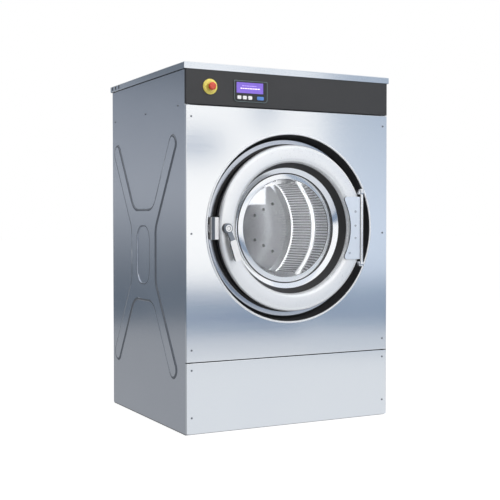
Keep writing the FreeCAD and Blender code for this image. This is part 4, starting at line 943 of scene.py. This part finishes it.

# %% [markdown]
# ### Perforated drum
#
# The drum's wall has rows of fine slots that run along it. Cutting hundreds of them would make a
# heavy solid, so the solid has every fourth, and a tree lays the full rows on the wall as thin dark
# strips that paint the shade seen through the slots: a ring of strips that look outwards, tipped to
# lie round the drum's axis, and put on one point for each band of slots.

# %% A tree for the slots
slot_rings = Tree("drum_slots", ("Width", "Length", "Thickness", "Radius", "Count"))
given = slot_rings.given
add = given["Geometry"].node
ring = add("GeometryNodeMeshCircle", None, {"Vertices": given["Count"], "Radius": given["Radius"]})
strip_size = add("ShaderNodeCombineXYZ", None, {
    "X": given["Thickness"], "Y": given["Width"], "Z": given["Length"]})
strip = add("GeometryNodeMeshCube", None, {"Size": strip_size})
outwards = add("GeometryNodeInputPosition")
aim = add("FunctionNodeAlignRotationToVector", {"axis": "X"}, {"Vector": outwards})
spread = add("GeometryNodeInstanceOnPoints", None, {"Points": ring, "Instance": strip, "Rotation": aim})
tipped = add("GeometryNodeTransform", None, {"Geometry": spread, "Rotation": (QUARTER, 0, 0)})
slot_rings.close(add("GeometryNodeInstanceOnPoints", None, {
    "Points": given["Geometry"], "Instance": tipped}))

# %% Slots on the drum's wall
DRUM_SHEET = 1.5 * MM
SLOT_END_GAP = 10 * MM
SLOT_GAP = 44 * MM
wall_low, wall_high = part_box("drum_wall")
wall_middle = (wall_low[1] + wall_high[1]) / 2
slot_length = (wall_high[1] - wall_low[1] - SLOT_GAP) / 2 - SLOT_END_GAP
slot_values = {
    "Width": 5.0 * MM, "Length": slot_length, "Thickness": 0.8 * MM, "Count": 144,
    "Radius": (wall_high[0] - wall_low[0]) / 2 - DRUM_SHEET,
}
band_step = (slot_length + SLOT_GAP) / 2
band_middles = [(0, wall_middle + step, axis_height) for step in (-band_step, band_step)]
drum_slots = slot_rings.run("drum_slots", band_middles, slot_values, "drum_slot")
add_on(drum_slots, "drum")

# %% [markdown]
# ### Drum seams
#
# A rolled seam runs round the middle of the drum's wall, and a bead and a roll lead from the wall
# to the back. They are turned like the rings of the door.

# %% Drum seams
WALL_INSIDE = 265.2
BEAD_BEND = 3.0
SEAM_CROWN = 262.0
SEAM_WIDTH = 22
BEAD_CROWN = 260.5
BEAD_START = 9
BEAD_END = 2
ROLL_START = 4
ROLL_EDGE = 263.5
ROLL_BEND = 14
ROLL_INNER = 244
ROLL_FOOT = 250
ROLL_DEPTH = 15
ROLL_SHEET = 0.2
seam_start = (wall_middle - front) / MM - SEAM_WIDTH / 2
corner = (wall_high[1] - front) / MM


def bead(name, crown, start, end):
    """A bead on the inside of the wall, between two depths, in a near-white finish that paints the bright
    reflection of its steel.
    """
    return turned(name, [
        (crown, start, BEAD_BEND), (crown, end, BEAD_BEND), (WALL_INSIDE, end), (WALL_INSIDE, start),
    ], "keeper_paint")


seam = bead("drum_seams", SEAM_CROWN, seam_start, seam_start + SEAM_WIDTH)
add_on(seam, "drum")
back_roll = turned("drum_back_roll", [
    (ROLL_INNER, corner + ROLL_DEPTH - ROLL_SHEET), (ROLL_EDGE, corner - ROLL_START, ROLL_BEND),
    (WALL_INSIDE, corner - ROLL_START), (WALL_INSIDE, corner), (ROLL_FOOT, corner + ROLL_DEPTH),
], "drum_mirror")
add_on(back_roll, "drum")
back_bead = bead("drum_back_bead", BEAD_CROWN, corner - BEAD_START, corner - BEAD_END)
add_on(back_bead, "drum")

# %% [markdown]
# ## Flat strips
#
# The display's rows, the line round its bezel, the slots in the lid and the ends of the seam over
# the plinth are all flat. A few faces just proud of the surface do, thickened with a Solidify
# modifier.

# %% Flat strips
STRIP_PROUD = 0.15 * MM
THIN = 0.1 * MM
THICK = 0.3 * MM


def flat_piece(name, points, faces, thickness, finish):
    """A flat mesh on the cabinet, thickened."""
    mesh = bpy.data.meshes.new(name)
    mesh.from_pydata(points, [], faces)
    mesh.materials.append(finishes[finish])
    piece = placed(name, mesh)
    solid = piece.modifiers.new("thickness", "SOLIDIFY")
    solid.thickness = thickness
    add_on(piece, "cabinet")


def flat_strips(name, rectangles, thickness, finish):
    """A flat piece of rectangles, each given by its four corners."""
    points = [corner for rectangle in rectangles for corner in rectangle]
    faces = [tuple(range(start, start + 4)) for start in range(0, len(points), 4)]
    flat_piece(name, points, faces, thickness, finish)


def front_rectangle(left, right, low, high, depth):
    """The corners of a rectangle that looks to the front."""
    return [(x, depth, z) for x, z in ((left, low), (right, low), (right, high), (left, high))]


print("strips stand", round(STRIP_PROUD / MM, 2), "mm proud")

# %% [markdown]
# ### Display and its frame
#
# The display shows two rows of plain bars on its violet ground, so one list of bar lengths for each
# row is enough. A thin light line, a painted highlight on the black bezel's edge, runs round it: two
# rounded outlines, joined by faces.

# %% Display rows
screen_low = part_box("display_screen")[0]
BAR_GAP = 2.0


def bar_row(name, left, low, tall, lengths, finish):
    """A row of flat bars, in millimetres from the screen's lower left corner."""
    bottom = screen_low[2] + low * MM
    bars = []
    for length in lengths:
        start = screen_low[0] + left * MM
        depth = screen_low[1] - STRIP_PROUD
        bars.append(front_rectangle(start, start + length * MM, bottom, bottom + tall * MM, depth))
        left += length + BAR_GAP
    flat_strips(name, bars, THIN, finish)


bar_row("display_row_upper", 23, 25.6, 2.4, (9, 5, 12, 7, 10, 6), "display_faint")
bar_row("display_row_lower", 16, 15.6, 3.2, (8, 5, 11, 6, 12, 7, 9, 9), "display_rows")

# %% Painted highlight round the bezel
bezel_low, bezel_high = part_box("display_bezel")
LINE_INSET = 0.4
LINE_WIDTH = 1.5
LINE_PROUD = 0.1 * MM
LOWER_ROUND = 13
UPPER_ROUND = 3


def bezel_outline(inset):
    """The bezel's outline, in millimetres, drawn in by an inset."""
    left, right = bezel_low[0] / MM + inset, bezel_high[0] / MM - inset
    low, high = bezel_low[2] / MM + inset, bezel_high[2] / MM - inset
    lower, upper = LOWER_ROUND - inset, UPPER_ROUND - inset
    return rounded([(left, low, lower), (right, low, lower), (right, high, upper), (left, high, upper)])


outer = bezel_outline(LINE_INSET)
inner = bezel_outline(LINE_INSET + LINE_WIDTH)
line_points = [(x * MM, bezel_low[1] - LINE_PROUD, z * MM) for x, z in outer + inner]
count = len(outer)
line_faces = [(i, (i + 1) % count, count + (i + 1) % count, count + i) for i in range(count)]
flat_piece("bezel_highlight_line", line_points, line_faces, THICK, "line_grey")

# %% [markdown]
# ### Lid slots
#
# The lid's sides have three short slots near the back. They are plain recesses, and thin dark plates
# paint the shade in them. The corners of the left ones go the other way round, so that they too face
# outwards.

# %% Lid slots
lid_low, lid_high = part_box("top_lid")
LID_SLOT_DEPTHS = (0.6753, 0.7139, 0.7506)
LID_SLOT_WIDTH = 11 * MM
lid_slot_low = lid_high[2] - 18 * MM
lid_slot_high = lid_high[2] - 3 * MM


def lid_slots(name, face, outwards):
    """The slots on one side of the lid."""
    x = face + outwards * STRIP_PROUD
    plates = []
    for depth in LID_SLOT_DEPTHS:
        near = front + depth - LID_SLOT_WIDTH / 2
        far = near + LID_SLOT_WIDTH
        plate = [(x, near, lid_slot_low), (x, far, lid_slot_low), (x, far, lid_slot_high),
                 (x, near, lid_slot_high)]
        plates.append(plate[::outwards])
    flat_strips(name, plates, THICK, "slot_shadow")


lid_slots("lid_slots_left", lid_low[0], -1)
lid_slots("lid_slots_right", lid_high[0], 1)

# %% [markdown]
# ### Plinth seam
#
# The seam over the plinth is an open gap between two panels, and it looks dark all the way. Behind
# its ends lie the side panels' bright flanges, so two thin dark strips paint the gap's shade over them
# to the corners.

# %% Plinth seam ends
SEAM_END = 26 * MM
CORNER_GAP = 0.5 * MM
seam_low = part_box("plinth_panel")[1][2]
seam_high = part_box("front_panel")[0][2]
seam_ends = []
for side in (-1, 1):
    left, right = sorted((side * (side_face - SEAM_END), side * (side_face - CORNER_GAP)))
    seam_ends.append(front_rectangle(left, right, seam_low, seam_high, front - STRIP_PROUD))
flat_strips("plinth_seam_ends", seam_ends, THIN, "slot_shadow")
print("seam from", round(seam_low, 4), "to", round(seam_high, 4))

# %% [markdown]
# ## Studio
#
# The photograph has a white ground and soft, even light. The floor is pale and keeps the
# machine's shadow. The world is a plain white that the camera, the steel and the glass see, and it
# lights the machine at half that strength.

# %% Floor
FLOOR_SIZE = 80
FLOOR_DROP = -0.5 * MM
FLOOR_GREY = 0.92
FLOOR_GLOW = 0.30
FLOOR_SEEN = 1.28
bpy.ops.mesh.primitive_plane_add(size=FLOOR_SIZE, location=(0, 0, FLOOR_DROP))
floor = bpy.context.object
floor.name = "floor"


def seen_directly(tree):
    """1 for what the camera, metal or glass sees, 0 for light that only falls on the object."""
    rays = tree.nodes.new("ShaderNodeLightPath").outputs
    total = Socket(tree, rays["Is Camera Ray"]) + Socket(tree, rays["Is Glossy Ray"])
    return (total + Socket(tree, rays["Is Transmission Ray"])).clamped()


def bare_material(name):
    """A material with an empty tree."""
    made = bpy.data.materials.new(name)
    made.use_nodes = True
    made.node_tree.nodes.clear()
    return made


def end_material(made, shader):
    output = made.node_tree.nodes.new("ShaderNodeOutputMaterial")
    made.node_tree.links.new(shader.output, output.inputs["Surface"])
    return made


def floor_finish():
    """White that still takes a shadow: half lit, half glowing."""
    made = bare_material("floor_white")
    seen = seen_directly(made.node_tree)
    matt = seen.node("ShaderNodeBsdfDiffuse", None, {"Color": (FLOOR_GREY, FLOOR_GREY, FLOOR_GREY, 1)})
    glow = seen.node("ShaderNodeEmission", None, {"Strength": FLOOR_GLOW + FLOOR_SEEN * seen})
    return end_material(made, seen.node("ShaderNodeMixShader", None, {0: 0.5, 1: matt, 2: glow}))


floor.data.materials.append(floor_finish())
print("floor of", FLOOR_SIZE, "m")

# %% World
SOFT_FILL = 0.5
world = bpy.data.worlds.new("studio")
bpy.context.scene.world = world
world.use_nodes = True
sky = world.node_tree
sky.nodes.clear()
seen = seen_directly(sky)
sky_values = {"Color": (1, 1, 1, 1), "Strength": SOFT_FILL + (1 - SOFT_FILL) * seen}
white = seen.node("ShaderNodeBackground", None, sky_values)
sky_output = sky.nodes.new("ShaderNodeOutputWorld")
sky.links.new(white.output, sky_output.inputs["Surface"])
print("world fills at", SOFT_FILL)

# %% [markdown]
# ### Reflector boards
#
# Steel shows what stands round it. A studio sets boards out of the picture so that flat panels
# aren't plain white: mats on the floor draw the blue-grey band low on the panels, and grey boards
# shade the sides and the back. A pale board at the front right cools the right of the front, a
# higher one and a ceiling shade its top, and two small ones leave clouds on it. A white card in the
# drum brightens one corner of the drum's back. Only reflections see them.


# %% Boards
def board_finish(name, low, high=None, bottom=0.0, top=1.0):
    """A glowing board whose colour runs from one height to another."""
    made = bare_material(name)
    tree = made.node_tree
    coordinates = tree.nodes.new("ShaderNodeTexCoord")
    height = Socket(tree, coordinates.outputs["Object"]).part("Z").between(bottom, top)
    values = {"Color": height.blend(low, high or low), "Strength": 1.0}
    return end_material(made, height.node("ShaderNodeEmission", None, values))


def board(name, points, faces, finish):
    """A board that only reflections see."""
    mesh = bpy.data.meshes.new(name)
    mesh.from_pydata(points, [], faces)
    mesh.materials.append(finish)
    made = placed(name, mesh)
    made.visible_camera = False
    made.visible_diffuse = False
    made.visible_shadow = False
    made.visible_transmission = False
    print(name, "stands on the stage")


def upright(name, start, end, low, high, finish):
    """An upright board between two points of the floor."""
    points = [(*start, low), (*end, low), (*end, high), (*start, high)]
    board(name, points, [(0, 1, 2, 3)], finish)


print("boards are seen in reflections only")

# %% Floor mats
MAT_STEPS = 16
MAT_HEIGHT = 2 * MM
MAT_CENTRE = 0.02
FRONT_SECTOR = (222, 322)
LEFT_SECTOR = (222, 298)
RIGHT_SECTOR = (298, 322)
BACK_SECTOR = (-38, 222)
MATS = (
    ("near_mat_front", MAT_CENTRE, 2.3, FRONT_SECTOR, (0.70, 0.73, 0.77)),
    ("middle_mat_left", 2.3, 3.5, LEFT_SECTOR, (0.60, 0.63, 0.68)),
    ("middle_mat_right", 2.3, 3.9, RIGHT_SECTOR, (0.56, 0.60, 0.66)),
    ("far_mat_left", 3.5, 8.2, LEFT_SECTOR, (0.15, 0.22, 0.335)),
    ("far_mat_right", 3.9, 12.0, RIGHT_SECTOR, (0.21, 0.28, 0.39)),
    ("near_mat_back", MAT_CENTRE, 4.0, BACK_SECTOR, (0.32, 0.335, 0.36)),
    ("far_mat_back", 4.0, 13.0, BACK_SECTOR, (0.12, 0.15, 0.19)),
)


def mat(name, inner, outer, sector, colour):
    """Part of a ring on the floor, between two angles from the right, in degrees."""
    first, last = sector
    points = []
    for i in range(MAT_STEPS + 1):
        angle = math.radians(first + (last - first) * i / MAT_STEPS)
        for radius in (inner, outer):
            points.append((radius * math.cos(angle), radius * math.sin(angle), MAT_HEIGHT))
    faces = [(2 * i, 2 * i + 1, 2 * i + 3, 2 * i + 2) for i in range(MAT_STEPS)]
    board(name, points, faces, board_finish(name, colour))


for values in MATS:
    mat(*values)

# %% Boards at the sides and the back
LOW_EDGE = 1.1
HIGH_EDGE = 2.42
BOARD_TOP = 6
SIDE_DISTANCE = 9
BACK_DISTANCE = 7
BACK_OPENING = 1.2
LEFT_REACH = -12
RIGHT_REACH = -1
SIDE_GREY = (0.37, 0.395, 0.44)
side_finish = board_finish("side_board", SIDE_GREY, (0.235, 0.265, 0.315), bottom=LOW_EDGE, top=2.4)
high_finish = board_finish("high_side_board", (0.14, 0.165, 0.20))
low_finish = board_finish("low_side_board", (0.15, 0.175, 0.21), SIDE_GREY, bottom=0.2, top=LOW_EDGE)
SIDE_BOARDS = (
    ("left_board", (-SIDE_DISTANCE, LEFT_REACH), (-SIDE_DISTANCE, BACK_DISTANCE)),
    ("left_back_board", (-SIDE_DISTANCE, BACK_DISTANCE), (-BACK_OPENING, BACK_DISTANCE)),
    ("right_side_board", (SIDE_DISTANCE, RIGHT_REACH), (SIDE_DISTANCE, BACK_DISTANCE)),
    ("right_back_board", (SIDE_DISTANCE, BACK_DISTANCE), (BACK_OPENING, BACK_DISTANCE)),
)
for name, start, end in SIDE_BOARDS:
    upright(name + "_low", start, end, 0, LOW_EDGE, low_finish)
    upright(name, start, end, LOW_EDGE, HIGH_EDGE, side_finish)
    upright(name + "_high", start, end, HIGH_EDGE, BOARD_TOP, high_finish)

# %% Boards at the front, above and in the drum
FRONT_DISTANCE = -8
RIGHT_START = 4.9
CEILING = 7
CEILING_HALF = 7
HIGH_BOARD_LOW = 2.55
CARD_DEPTH = 0.444
CARD_SIDES = (0.030, 0.160)
CARD_HEIGHTS = (0.100, 0.210)
right_finish = board_finish("right_board", (0.60, 0.68, 0.80), (0.34, 0.41, 0.51), bottom=0.8, top=3.0)
ceiling_finish = board_finish("ceiling_board", (0.78, 0.82, 0.88))
card_finish = board_finish("drum_card", (1.75, 1.75, 1.8))
high_board_finish = board_finish(
    "front_high_board", (0.90, 0.94, 0.98), (0.62, 0.68, 0.76), bottom=HIGH_BOARD_LOW, top=2.9)
cloud_finish = board_finish("cloud_board", (0.02, 0.12, 0.28))


def front_board(name, left, right, low, high, finish):
    """An upright board across the front."""
    upright(name, (left, FRONT_DISTANCE), (right, FRONT_DISTANCE), low, high, finish)


front_board("right_board", RIGHT_START, 14, 0, 7, right_finish)
ceiling_corners = ((-1, -1), (1, -1), (1, 1), (-1, 1))
board("ceiling_board", [(x * CEILING_HALF, y * CEILING_HALF, CEILING) for x, y in ceiling_corners],
      [(0, 1, 2, 3)], ceiling_finish)
card_start, card_end = [(x, front + CARD_DEPTH) for x in CARD_SIDES]
card_low, card_high = [axis_height + height for height in CARD_HEIGHTS]
upright("drum_card", card_start, card_end, card_low, card_high, card_finish)
front_board("front_high_board", -2, RIGHT_START, HIGH_BOARD_LOW, 3.2, high_board_finish)
front_board("cloud_board_low", 2.7, 3.4, 1.58, 1.84, cloud_finish)
front_board("cloud_board_high", 3.9, 4.12, 1.95, 2.6, cloud_finish)

# %% [markdown]
# ### Lamps
#
# Two large soft lamps light the front and the top, and a small one in the mouth of the drum lights
# its inside. The steel doesn't show them: what it reflects is the world and the boards.

# %% Lamps
DRUM_MOUTH = 0.134
DRUM_REACH = 0.46


def soft_lamp(name, place, aim, size, power):
    """A rectangular lamp that lights the object and isn't seen."""
    lamp = bpy.data.lights.new(name, "AREA")
    lamp.shape = "RECTANGLE"
    lamp.size, lamp.size_y = size
    lamp.energy = power
    holder = placed(name, lamp)
    holder.location = place
    heading = Vector(aim) - Vector(place)
    holder.rotation_euler = heading.to_track_quat("-Z", "Y").to_euler()
    holder.visible_camera = False
    holder.visible_glossy = False
    holder.visible_transmission = False
    print(name, power, "W")


soft_lamp("key_front", place=(1.2, -3.6, 2.8), aim=(0, -0.3, 0.8), size=(2.4, 2.0), power=62)
soft_lamp("top_soft", place=(0.0, -0.6, 3.4), aim=(0, 0, 1.0), size=(2.5, 2.5), power=30)
soft_lamp("drum_glow", place=(-0.04, front + DRUM_MOUTH, axis_height + 0.13),
          aim=(0.05, front + DRUM_REACH, axis_height - 0.02), size=(0.16, 0.05), power=6.0)

# %% [markdown]
# ## Camera
#
# The camera was found from the cabinet's corners and seams in the photograph. It stands to the
# left of the front, at about the middle of the machine's height.

# %% Camera
CAMERA_PLACE = (-1.89728, -3.67225, 0.77403)
CAMERA_YAW = math.radians(27.600)
CAMERA_PITCH = math.radians(-1.553)
CAMERA_ROLL = math.radians(-0.03)
FOCAL_LENGTH = 71.48
SENSOR_WIDTH = 36.0
VIEW_REACH = 100
lens = bpy.data.cameras.new("camera")
lens.lens = FOCAL_LENGTH
lens.sensor_width = SENSOR_WIDTH
lens.clip_end = VIEW_REACH
camera = placed("camera", lens)
camera.location = CAMERA_PLACE
yaw = Euler((0, 0, -CAMERA_YAW)).to_matrix()
pitch = Euler((QUARTER + CAMERA_PITCH, 0, 0)).to_matrix()
roll = Euler((0, 0, CAMERA_ROLL)).to_matrix()
camera.rotation_euler = (yaw @ pitch @ roll).to_euler()
bpy.context.scene.camera = camera
bpy.context.scene.view_settings.view_transform = "Standard"
print("camera at", CAMERA_PLACE)
